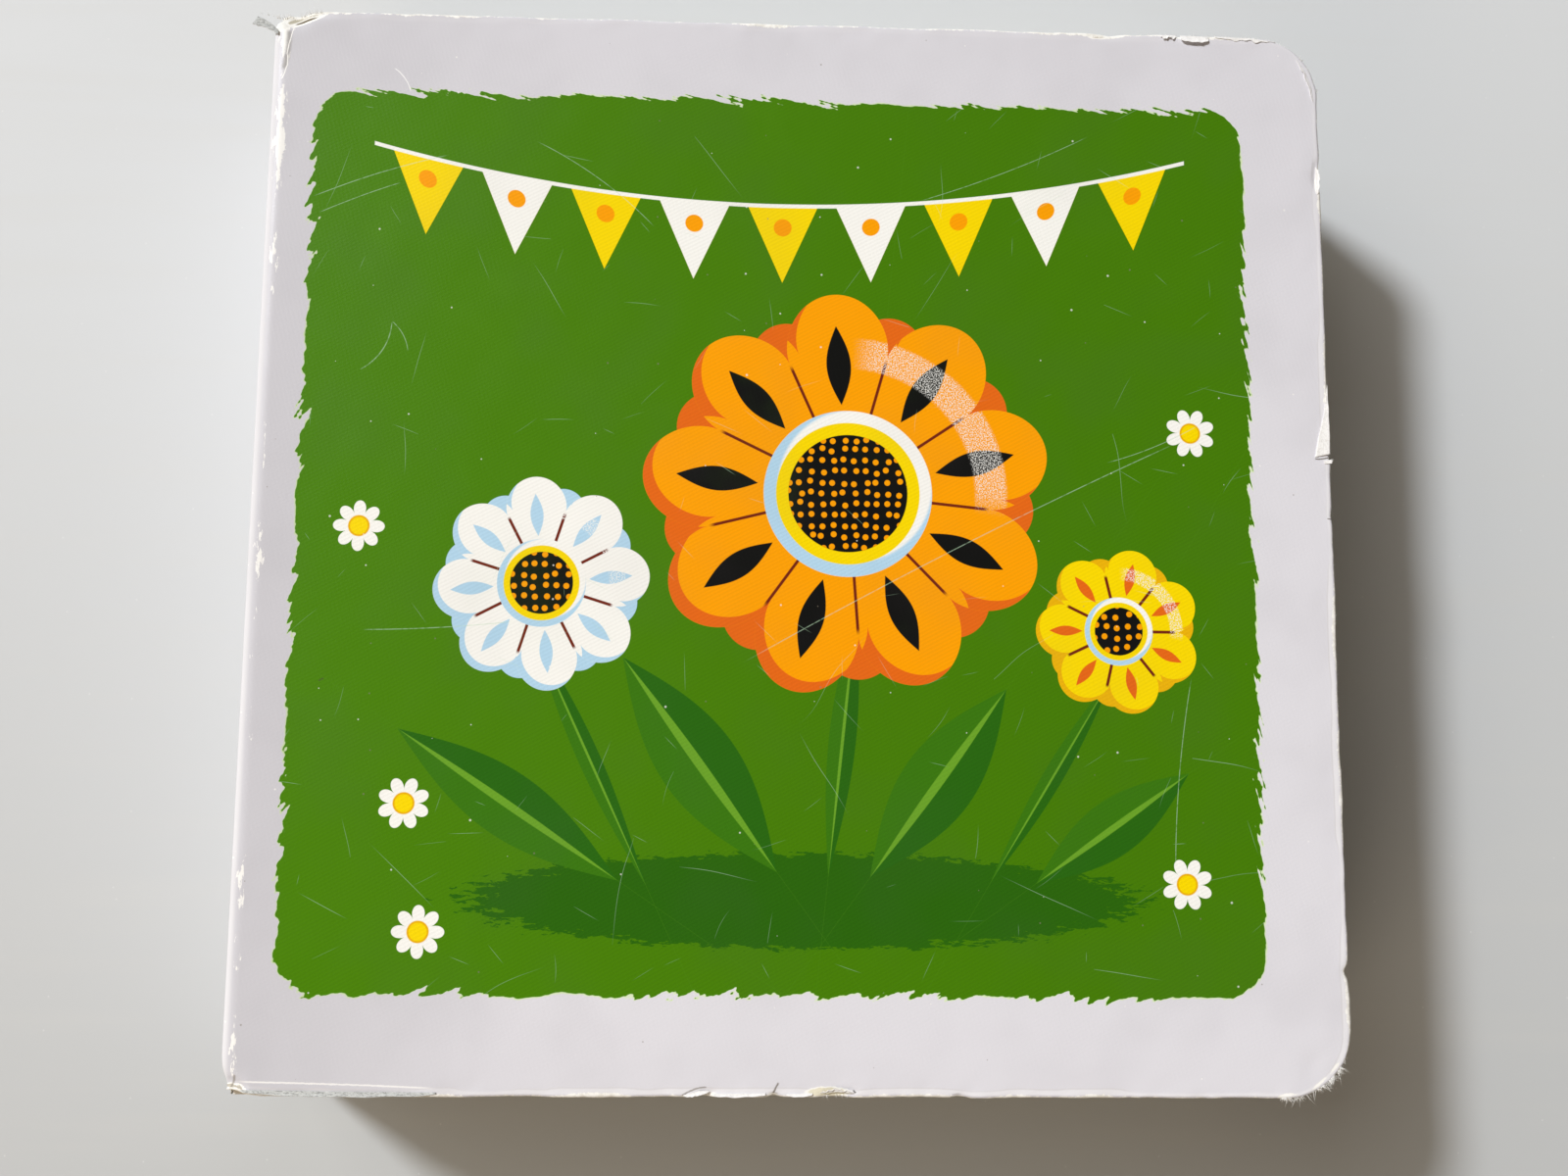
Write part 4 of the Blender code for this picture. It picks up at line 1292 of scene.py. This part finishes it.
# Name, line on the cover in mm, free side, lift and other settings
LOOSE_STRIPS = (
    ("fore_edge_flap", ((79.78, 24.6), (79.2, 20.0), (78.2, 16.5), (77.6, 13.4)),
     ((79.82, 24.6), (79.9, 20.0), (79.92, 16.5), (79.85, 13.9)), 0.16,
     dict(grown=1.5, raggedness=0.0, seed=11)),
    ("fore_edge_tab", ((78.9, 12.9), (79.1, 12.4)), ((80.1, 13.1), (80.15, 12.5)), 0.12,
     dict(raggedness=0.15, seed=12)),
    ("head_edge_flap", ((63.1, 79.7), (58.7, 79.8)), 1.2, 0.55,
     dict(raggedness=0.04, taper=0.15, seed=13, outside=1)),
    ("head_edge_frill", ((73.6, 79.2), (69.5, 79.65), (64.2, 79.8)), 0.36, 0.03,
     dict(raggedness=0.5, taper=0.3, seed=26, outside=1)),
    ("head_edge_crumb", ((58.0, 79.8), (55.6, 79.8)), 0.6, 0.25,
     dict(raggedness=0.5, taper=0.3, seed=23, outside=1)),
    ("fore_corner_film", ((76.9, 76.4), (78.2, 74.4), (79.0, 72.0), (79.3, 69.6)), -0.5, 0.2,
     dict(raggedness=0.15, seed=14)),
    ("fore_wedge", ((79.2, 59.0), (79.25, 54.6)), 0.6, 0.2, dict(seed=15, outside=1)),
    ("spine_corner_flap", ((-79.3, 76.5), (-80.4, 77.6), (-81.6, 78.3), (-82.5, 78.7)),
     ((-79.35, 75.95), (-80.6, 76.6), (-82.0, 77.1), (-83.3, 77.4)), 0.1,
     dict(raggedness=0.06, seed=16, finishes=soiled_finishes)),
    ("tail_edge_film", ((-50.0, -79.3), (-62.0, -79.2), (-77.0, -79.0)), 0.75, 0.12,
     dict(raggedness=0.12, taper=0.3, seed=19, finishes=soiled_finishes)),
    ("tail_crescent", ((-12.0, -79.0), (-13.4, -79.0), (-15.6, -79.6)), 0.6, 0.25,
     dict(raggedness=0.1, seed=20, outside=1)),
    ("tail_sliver", ((-4.0, -79.3), (-11.4, -79.4)), 0.5, 0.25,
     dict(raggedness=0.1, taper=0.2, seed=21, outside=1)),
    ("tail_sliver_beyond", ((2.6, -79.3), (-1.2, -79.4)), 0.45, 0.2,
     dict(raggedness=0.1, taper=0.3, seed=24, outside=1)),
    ("tail_tear", ((8.4, -79.3), (6.0, -79.1), (3.6, -79.3)), -0.35, 0.3,
     dict(raggedness=0.4, seed=22, outside=1)),
)
for name, line, free, lift, settings in LOOSE_STRIPS:
    loose_strip(name, line, free, lift, **settings)

# Fibres: where they start, how far along the edge they spread, how many, which way in
# degrees, and their mean length and half thickness in mm
FIBRE_TUFTS = (
    ((77.6, -75.5), 0.6, 46, -45, 0.55, 0.055),
    ((76.3, -76.6), 0.7, 40, -50, 0.6, 0.055),
    ((74.9, -77.8), 0.7, 46, -55, 0.5, 0.055),
    ((76.0, -77.2), 3.2, 60, -50, 1.0, 0.03),
    ((70.1, -79.4), 0.7, 70, -75, 0.5, 0.055),
    ((71.4, -79.2), 1.4, 26, -65, 1.0, 0.03),
    ((-78.8, 77.8), 1.6, 40, 120, 0.5, 0.05),
    ((-75.0, 79.2), 2.2, 40, 90, 0.45, 0.04),
    ((60.0, 79.7), 5.0, 90, 88, 0.32, 0.05),
    ((70.0, 79.7), 4.0, 60, 88, 0.25, 0.05),
    ((77.4, 76.3), 0.5, 26, 45, 0.35, 0.05),
    ((79.4, 71.3), 0.3, 20, 10, 0.35, 0.05),
    ((5.8, -79.6), 2.0, 22, -90, 0.4, 0.035),
    ((79.6, -20.0), 16.0, 26, 0, 0.3, 0.03),
    ((79.6, 57.4), 1.4, 24, 0, 0.35, 0.045),
)
FIBRE_POINTS = 5
FIBRE_HEIGHT = 0.6  # no fibre stands higher than this over the cover


def fibre_tufts(tufts, seed):
    """Fine tapered fibres, three-sided and bent.

    Each starts inside the board's dented edge and runs outwards as a quadratic curve, and its
    width falls to a point.
    """
    chance = np.random.default_rng(seed)
    tables = []
    for (x, y), spread, count, heading, mean_length, half_width in tufts:
        along = chance.normal(0, 0.5, count) * spread
        turn = math.radians(heading)
        side = np.array([-math.sin(turn), math.cos(turn)])
        base = np.array([x, y]) + along[:, None] * side
        inward = distance_from_edge(base[:, 0], base[:, 1]) - 0.25
        base += inward[:, None] * np.array([math.cos(turn), math.sin(turn)])
        down = TOP - chance.uniform(0.1, 0.7, count)
        start = np.column_stack([base, down]) + dented(*base.T, FRONT_DENTS)
        way = turn + chance.normal(0, 0.5, count)
        run = np.column_stack([np.cos(way), np.sin(way), chance.normal(0.1, 0.25, count)])
        length = mean_length * chance.uniform(0.5, 1.5, count)
        tables.append((start, run, length, np.full(count, half_width)))
    starts, runs, length, width = (np.concatenate(column) for column in zip(*tables))
    length, width = length[:, None, None], width[:, None, None]
    share = np.linspace(0, 1, FIBRE_POINTS)[None, :, None]
    bend = chance.normal(0, 0.35, (len(starts), 1, 3))
    line = starts[:, None, :] + runs[:, None, :] * length * share + bend * length * share**2
    line[..., 2] = np.minimum(line[..., 2], TOP + FIBRE_HEIGHT)
    across = unit(np.cross(runs, [0, 0, 1.0]))
    over = unit(np.cross(runs, across))
    turns = np.arange(3) * math.tau / 3
    radius = (width * (1 - share) + 0.006)[..., None]
    ring = np.cos(turns)[None, None, :, None] * across[:, None, None, :]
    ring = ring + np.sin(turns)[None, None, :, None] * over[:, None, None, :]
    points = (line[:, :, None, :] + ring * radius).reshape(-1, 3)
    first = np.arange(len(starts))[:, None, None] * FIBRE_POINTS * 3
    step = np.arange(FIBRE_POINTS - 1)[None, :, None] * 3
    side, here = np.arange(3)[None, None, :], first + step
    after = (side + 1) % 3
    walls = np.stack([here + side, here + after, here + 3 + after, here + 3 + side], axis=-1)
    ends = np.arange(len(starts))[:, None] * FIBRE_POINTS * 3
    last = ends + (FIBRE_POINTS - 1) * 3
    faces = walls.reshape(-1, 4).tolist()
    faces += np.concatenate([ends + 2, ends + 1, ends], axis=1).tolist()
    faces += np.concatenate([last, last + 1, last + 2], axis=1).tolist()
    return points, faces


points, faces = fibre_tufts(FIBRE_TUFTS, 31)
tufts = mesh_object("torn_fibres", points, faces, [finish_of("fibres", 0.9, 0.1, fibre_paper)])
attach(tufts, "front_cover")


# The back cover
# The same laminated board as in front, without a print: it is folded along its own score,
# and turned the other way up. It lies on the table, which has worn its edges.
BACK_LOW, BACK_HIGH = (np.array(corner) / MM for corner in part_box("back_cover"))
BACK_HINGE_Z = (BACK_LOW[2] + BACK_HIGH[2]) / 2
BACK_DENTS = (
    ((79.8, 70.0), 2.4, (-0.3, -0.2, -0.15)),
    ((79.8, -20.0), 1.2, (-0.3, 0.0, -0.1)),
    ((76.0, -76.0), 2.0, (-0.3, 0.25, -0.15)),
    ((20.0, 79.9), 1.0, (0.0, -0.3, -0.1)),
    ((-79.5, 79.5), 2.2, (0.6, -0.6, -0.25)),
    ((-79.5, -79.0), 2.4, (0.5, 0.7, -0.3)),
    ((-30.0, -79.9), 1.3, (0.0, 0.3, -0.1)),
)
BACK_BRUISES = (
    (76.6, 76.6, 1.4, 0.35, -45, 1.0, (236, 233, 222)),
    (76.4, -76.4, 1.8, 0.4, 45, 1.0, (238, 235, 226)),
    (-77.8, 78.9, 1.8, 0.5, 10, 0.8, (212, 207, 195)),
    (-78.0, -78.9, 1.6, 0.6, -10, 0.8, (198, 192, 178)),
    (20.0, 79.4, 0.9, 0.3, 0, 1.0, (236, 233, 226)),
)


def back_wear(x, y, z, rim):
    """The back cover is a little wavy too, with an uneven rim and its own dents."""
    outside = z > KNUCKLE * 0.5
    near_rim = np.exp(-np.maximum(rim, 0) / 1.5)
    move = np.zeros((len(x), 3))
    inner_wave = 0.03 * ripple(x, y, 60, 41) * np.clip((x - HINGE_X) / 12, 0, 1)
    move[:, 2] += np.where(outside, np.minimum(inner_wave, 0), np.maximum(inner_wave, 0))
    move[:, 0] -= near_rim * (0.06 + 0.06 * ripple(x, y, 12, 42)) * (x > 0)
    move[:, 1] -= near_rim * (0.06 + 0.06 * ripple(x, y, 11, 43)) * np.sign(y) * (np.abs(y) > 70)
    move += dented(x, y, BACK_DENTS)
    return move


def plain_film(point):
    return laminate(point, ink(*BORDER), 21.0, bruises=BACK_BRUISES)


back_across = crowded(0, 1, 100, ((0, 0.02, 3), (1, 0.03, 3.5)))
back_along = crowded(CORNER_RADIUS - HALF_HEIGHT, HALF_HEIGHT - CORNER_RADIUS, 80, ())
build_cover(
    "plain_back_cover", "back_cover", -1, BACK_HINGE_Z, back_across, back_along, back_wear,
    finish_of("plain_film", 0.3, 0.12, plain_film),
)


# The spine
# The strip of the same board between the two folds. It is glued to nothing, its ends are
# hollowed by the covers' knuckles, and thumbs have scuffed its long edges.
SPINE_HIGH = np.array(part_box("spine")[1]) / MM
SEAT = 0.06  # between the hollow ends and the knuckles
HOLLOW = KNUCKLE + SEAT
LIP = 1.28  # from a hinge to the near end of the spine's outer face
LIP_TURN = 68.0  # where the lips stop, to leave room for the covers' outer rounding
SPINE_OUTSIDE = FRONT_LOW[0]
SPINE_ROUNDING = 0.3
SCORE_DEPTH, SCORE_WIDTH = 0.22, 0.9  # the shallow score beside each fold
HOLLOW_STEPS = 8
SPINE_STEPS = 40
SPINE_ROWS = np.linspace(-79.5, 79.5, 90)


def hollow_end(centre_z, start, end):
    """An arc about a hinge from one angle to another, in degrees."""
    turns = np.radians(np.linspace(start, end, HOLLOW_STEPS))
    return HINGE_X + HOLLOW * np.cos(turns), centre_z + HOLLOW * np.sin(turns)


def swept(loops, rows_y):
    """Closed loops in X and Z, one for each place along Y, as points and the faces between them."""
    loops = np.array(loops)
    count = loops.shape[1]
    columns = np.broadcast_arrays(loops[..., 0], np.array(rows_y)[:, None], loops[..., 1])
    points = np.stack(columns, axis=-1).reshape(-1, 3)
    rows = np.arange(len(loops) - 1)[:, None] * count
    here, after = np.arange(count)[None, :], np.roll(np.arange(count), -1)[None, :]
    corners = [rows + here, rows + count + here, rows + count + after, rows + after]
    return points, np.stack(corners, axis=-1).reshape(-1, 4).tolist()


def drawn_in(loop, depth):
    """A loop moved inwards by a depth, along the mean of the normals on both sides of a point."""
    slope = unit(unit(loop - np.roll(loop, 1, axis=0)) + unit(np.roll(loop, -1, axis=0) - loop))
    return loop + np.column_stack([-slope[:, 1], slope[:, 0]]) * depth


def rounded_ends(rounding, steps, between):
    """Places along Y with how far a section is drawn in there, so that both ends are rounded."""
    turns = np.linspace(0, math.pi / 2, steps, endpoint=False)
    tail = -HALF_HEIGHT + rounding * (1 - np.cos(turns))
    depth = rounding * (1 - np.sin(turns))
    y = np.concatenate([tail, between, -tail[::-1]])
    return y, np.concatenate([depth, np.zeros(len(between)), depth[::-1]])


lip_top, lip_bottom = FRONT_HINGE_Z - LIP, BACK_HINGE_Z + LIP
inner_turn = math.degrees(math.acos((SPINE_HIGH[0] - HINGE_X) / HOLLOW))
low_x, low_z = hollow_end(BACK_HINGE_Z, 180 - LIP_TURN, inner_turn)
high_x, high_z = hollow_end(FRONT_HINGE_Z, -inner_turn, -180 + LIP_TURN)
face_z = np.linspace(lip_top, lip_bottom, SPINE_STEPS)
scored = np.minimum(lip_top - face_z, face_z - lip_bottom)
face_x = SPINE_OUTSIDE + SCORE_DEPTH * np.clip(1 - scored / SCORE_WIDTH, 0, 1) ** 2
inner_z = np.linspace(low_z[-1], high_z[0], 8)[1:-1]
loop_x = np.concatenate([face_x, low_x, np.full(len(inner_z), SPINE_HIGH[0]), high_x])
loop_z = np.concatenate([face_z, low_z, inner_z, high_z])
spine_loop = np.column_stack([loop_x, loop_z])
spine_y, spine_depth = rounded_ends(SPINE_ROUNDING, 4, SPINE_ROWS)
points, faces = swept([drawn_in(spine_loop, depth) for depth in spine_depth], spine_y)
count = len(spine_loop)
outer = np.arange(count) < SPINE_STEPS
tail_cap = np.arange(count).tolist()
head_cap = (np.arange(count)[::-1] + len(points) - count).tolist()
kinds = np.where(outer, 0, np.where(np.arange(count) < SPINE_STEPS + HOLLOW_STEPS, 1, 2))
kinds[-1] = 0
kinds = np.tile(kinds, len(spine_y) - 1).tolist() + [1, 1]
x, y, z = points.T
on_face = np.tile(outer, len(spine_y))
dimple = 0.05 * (1 + ripple(y, z, 30, 51)) + 0.02 * ripple(y, z, 6, 52)
points[:, 0] += np.where(on_face, np.clip(dimple, 0, 0.2), 0)
# The covers' crushed corners go on into the spine's ends.
inner_gap = np.clip((SPINE_HIGH[0] - x) / 0.6, 0, 1)
upper_end = np.clip((z - lip_top) / 7 + 1, 0, 1) * inner_gap
lower_end = np.clip((lip_bottom - z) / 7 + 1, 0, 1) * inner_gap
for dents, share, side in ((FRONT_DENTS, upper_end, 1), (BACK_DENTS, lower_end, -1)):
    for dent in dents:
        if dent[0][0] < HINGE_X + 3:
            points += dented(x, y, [dent]) * share[:, None] * (1, 1, side)
spine_rim = np.minimum(HALF_HEIGHT - np.abs(y), np.minimum(z - lip_bottom, lip_top - z) + 0.6)


def spine_film(point):
    x, y, z = coordinates(point)
    return laminate(place(point.tree, y, z, x), ink(*BORDER), 37.0, folded=False)


spine = mesh_object(
    "scuffed_spine",
    points,
    faces + [tail_cap, head_cap],
    [finish_of("spine_film", 0.3, 0.12, spine_film), edge_finish, page_finish],
    kinds,
    {"rim": np.maximum(spine_rim, 0), "ply": np.clip((x - SPINE_OUTSIDE) / 1.2, 0, 1)},
)
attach(spine, "block")
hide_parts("spine")


# The leaves
# Sheets of page board folded in half and glued back to back. At the spine each folded back
# bulges between its glue lines; at the other three sides all leaves were trimmed at once
# with their corners, and reading has spread them unevenly.
BLOCK_LOW, BLOCK_HIGH = (np.array(corner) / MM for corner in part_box("page_block"))
LEAF_COUNT = 18
LEAF_GAP = 0.25
LEAF_THICKNESS = (BLOCK_HIGH[2] - BLOCK_LOW[2] - (LEAF_COUNT - 1) * LEAF_GAP) / LEAF_COUNT
LEAF_PITCH = LEAF_THICKNESS + LEAF_GAP
FOLD_CROWN = 0.5
LEAST_GAP = 0.07
LEAF_EDGE_ROUNDING = 0.22
LEAF_COLUMNS = 12
BACK_STEPS = 4  # to either side of a glue line
BLOCK_ROWS = np.linspace(-60, 60, 26)
BLOCK_ROUNDING = 0.18
OUTER_FOLD = 0.1  # how far the outermost leaves stay off the crown of their folds
SPREAD_RUN = 30  # mm from the slots' ends to where the leaves lie at their full spread
SHUFFLE = 0.04  # how unevenly the leaves end at the head and the tail


def leaf_gaps(seed):
    """Uneven gaps between the leaves that add up to the same as the even ones."""
    chance = np.random.default_rng(seed)
    spare = chance.gamma(0.9, 1.0, LEAF_COUNT - 1)
    total = (LEAF_COUNT - 1) * (LEAF_GAP - LEAST_GAP)
    return LEAST_GAP + spare / spare.sum() * total


def leaf_tops(gaps):
    """The height of each leaf's upper face, from the first leaf down."""
    drops = np.concatenate([[0], np.cumsum(gaps + LEAF_THICKNESS)])
    return BLOCK_HIGH[2] - drops


even_tops = leaf_tops(np.full(LEAF_COUNT - 1, LEAF_GAP))
tail_shift = leaf_tops(leaf_gaps(61)) - even_tops
head_shift = leaf_tops(leaf_gaps(62)) - even_tops
middle_shift = leaf_tops(leaf_gaps(63)) - even_tops
trim = np.random.default_rng(64).normal(0, 0.05, LEAF_COUNT)
crown_radius = (LEAF_PITCH**2 / 4 + FOLD_CROWN**2) / (2 * FOLD_CROWN)
slot_end = BLOCK_LOW[0] + LEAF_THICKNESS / 2 + LEAF_GAP / 2


def leaf_face(z, side, slotted, slot_turns, fore_edge_x):
    """A face of a leaf from its fore edge to the spine, and on round its share of a slot's end."""
    near = slot_end if slotted else BLOCK_LOW[0] + OUTER_FOLD
    reach = np.linspace(1, 0, LEAF_COLUMNS) ** 0.8
    x = near + reach * (fore_edge_x - LEAF_EDGE_ROUNDING - near)
    run = np.column_stack([x, np.full(LEAF_COLUMNS, z)])
    if not slotted:
        return run
    turns = np.radians(slot_turns)
    middle = z + side * LEAF_GAP / 2
    end = [slot_end + LEAF_GAP / 2 * np.cos(turns), middle - side * LEAF_GAP / 2 * np.sin(turns)]
    return np.concatenate([run, np.column_stack(end)])


def leaf_outline(i, fore_edge_x):
    """The outline of one leaf's share of the section, in four runs.

    The runs are its upper face towards the spine, its folded back downwards, its lower face
    towards the fore edge, and its rounded fore edge upwards.
    """
    top, bottom = even_tops[i], even_tops[i] - LEAF_THICKNESS
    first, last = i == 0, i == LEAF_COUNT - 1
    upper = leaf_face(top, 1, not first, (120, 150, 180), fore_edge_x)
    lower = leaf_face(bottom, -1, not last, (120, 150), fore_edge_x)[::-1]
    away = np.linspace(LEAF_PITCH / 2, -LEAF_PITCH / 2, 2 * BACK_STEPS + 1)[:-1]
    from_crown = LEAF_PITCH / 2 - np.abs(away)
    back_x = BLOCK_LOW[0] + crown_radius - np.sqrt(crown_radius**2 - from_crown**2)
    limits = bottom if last else -np.inf, top if first else np.inf
    back = np.column_stack([back_x, np.clip((top + bottom) / 2 + away, *limits)])
    turns = np.radians([-60, -30, 0])
    curve_x = fore_edge_x - LEAF_EDGE_ROUNDING * (1 - np.cos(turns))
    curve_z = LEAF_EDGE_ROUNDING * (1 + np.sin(turns))
    curve_z = np.concatenate([bottom + curve_z, (top - curve_z)[::-1]])
    edge = np.column_stack([np.concatenate([curve_x, curve_x[::-1]]), curve_z])
    return upper, back, lower, edge


def block_loop(fore, depth):
    """The whole section for one place along Y, with the run that each point belongs to."""
    runs = [leaf_outline(i, fore + trim[i]) for i in range(LEAF_COUNT)]
    order = [(0, 0)] + [(i, 1) for i in range(LEAF_COUNT)]
    for i in range(LEAF_COUNT - 1, -1, -1):
        order += [(i, 2), (i, 3)] + ([(i, 0)] if i else [])
    loop = np.concatenate([runs[i][kind] for i, kind in order])
    labels = np.concatenate([[(i, kind)] * len(runs[i][kind]) for i, kind in order])
    return drawn_in(loop, depth), labels


corner_turns = np.linspace(math.pi / 2, 0, 9)
corner_y = HALF_HEIGHT - CORNER_RADIUS + CORNER_RADIUS * np.sin(corner_turns)
middle_y = np.concatenate([-corner_y[1:], BLOCK_ROWS, corner_y[1:][::-1]])
block_y, block_depth = rounded_ends(BLOCK_ROUNDING, 3, middle_y)
past = np.clip(np.abs(block_y) - (HALF_HEIGHT - CORNER_RADIUS), 0, CORNER_RADIUS)
fore_x = HALF_WIDTH - CORNER_RADIUS + np.sqrt(np.maximum(CORNER_RADIUS**2 - past**2, 0))
loops, labels = zip(*(block_loop(x, depth) for x, depth in zip(fore_x, block_depth)))
labels = labels[0]
points, faces = swept(loops, block_y)
x, y, z = points.T
leaf_of = np.tile(labels[:, 0], len(block_y))
share = np.clip((y / HALF_HEIGHT + 1) / 2, 0, 1)
shift = tail_shift[leaf_of] * (1 - share) ** 2 + head_shift[leaf_of] * share**2
shift += middle_shift[leaf_of] * 2 * share * (1 - share)
spread = np.clip((x - slot_end) / SPREAD_RUN, 0, 1)
points[:, 2] += shift * spread**2 * (3 - 2 * spread)
shuffle = np.random.default_rng(65).normal(0, SHUFFLE, LEAF_COUNT)
points[:, 1] += np.clip(np.abs(y) - 79, 0, 1) * np.sign(y) * shuffle[leaf_of]
count = len(labels)
numbers = {}
for number, (i, kind) in enumerate(labels):
    numbers.setdefault((i, kind), []).append(number)
caps = []
for i in range(LEAF_COUNT):
    ring = numbers[i, 0] + numbers[i, 1]
    ring += [numbers[i + 1, 1][0], numbers[i + 1, 0][-1]] if i < LEAF_COUNT - 1 else []
    ring += numbers[i, 2] + numbers[i, 3]
    caps.append(ring)
last = len(points) - count
caps += [[number + last for number in ring[::-1]] for ring in caps]
run_kinds = labels[:, 1]
ends_run = np.roll(run_kinds, -1) != run_kinds
side_kinds = np.where((run_kinds % 2 == 1) | (ends_run & (run_kinds == 2)), 0, 1)
kinds = np.tile(side_kinds, len(block_y) - 1).tolist() + [0] * len(caps)
even_z = np.tile(np.array(loops[0])[:, 1], len(block_y))
leaf_share = np.clip((even_tops[leaf_of] - even_z) / LEAF_THICKNESS, 0, 1)


def page_edge(point):
    """The trimmed edge of a leaf: two sheets and the glue between, whitened and soiled by use."""
    colour, height = cut_edge(point)[::2]
    flat = node(point.tree, "VectorMath", {0: point, 1: (0.25, 0.25, 2.4)}, operation="MULTIPLY")
    smear = noise(flat, 0.35, detail=3.0).rise(0.5, 0.75)
    return layered(colour, (smear * 0.18, (168, 158, 138))), None, height


block = mesh_object(
    "glued_leaves",
    points,
    faces + caps,
    [finish_of("trimmed_page_edge", 0.85, 0.1, page_edge), page_finish],
    kinds,
    {"ply": leaf_share},
)
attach(block, "block")
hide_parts("page_block")


# The gutter papers
# The first and the last sheet are each pasted half to a cover and half to the next leaf. The
# fold between the halves crosses the hinge.
GUTTER_REACH = 9.0
GUTTER_FADE = 3.0  # over which the ends thin out
GUTTER_PAPER = 0.1
GUTTER_TURN = 40  # points round the bend
GUTTER_SEAT = 0.015  # between the paper and what it is pasted to


def gutter_paper(name, cover_z, page_z, first, second):
    """A strip bent as a U in the gap between a cover and the leaves.

    Its two legs lie on the cover and on the first leaf, and a half circle joins them. Both
    ends thin out to nothing.
    """
    lie = GUTTER_PAPER / 2 + GUTTER_SEAT
    way = math.copysign(1, page_z - cover_z)
    from_z, to_z = cover_z + way * lie, page_z - way * lie
    radius = abs(to_z - from_z) / 2
    turn_x = BLOCK_LOW[0] + 0.12 + radius
    leg = np.linspace(turn_x + GUTTER_REACH, turn_x, 10, endpoint=False)
    turns = np.linspace(0, math.pi, GUTTER_TURN)
    bend_x = turn_x - radius * np.sin(turns)
    bend_z = (from_z + to_z) / 2 - way * radius * np.cos(turns)
    x = np.concatenate([leg, bend_x, leg[::-1]])
    z = np.concatenate([np.full(len(leg), from_z), bend_z, np.full(len(leg), to_z)])
    fade = np.clip((turn_x + GUTTER_REACH - x) / GUTTER_FADE, 0, 1)
    thickness = np.maximum(GUTTER_PAPER * fade, 0.01)
    sink = np.where(np.arange(len(x)) < len(x) / 2, -way, way) * (1 - fade) * lie
    y = np.linspace(-HALF_HEIGHT + 0.3, HALF_HEIGHT - 0.3, 60)
    grid = np.stack(np.broadcast_arrays(x, y[:, None], z + sink), axis=-1)
    shell, faces, _ = thin_shell(grid, thickness)
    made = mesh_object(name, shell, faces, [page_finish])
    clear = lie + GUTTER_PAPER / 2 + 0.002  # just past the paper's far face
    ends = (cover_z + way * clear, page_z - way * clear)
    ends = [Vector((turn_x, 0, z)) * MM for z in ends]
    if first == "block":
        ends = ends[::-1]
    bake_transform(made)


gutter_paper("front_gutter_paper", FRONT_LOW[2], BLOCK_HIGH[2], "front_cover", "block")
gutter_paper("back_gutter_paper", BACK_HIGH[2], BLOCK_LOW[2], "block", "back_cover")


new_low, new_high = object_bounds()
boxes = {"cad": [list(cad_low), list(cad_high)], "visual": [list(new_low), list(new_high)]}
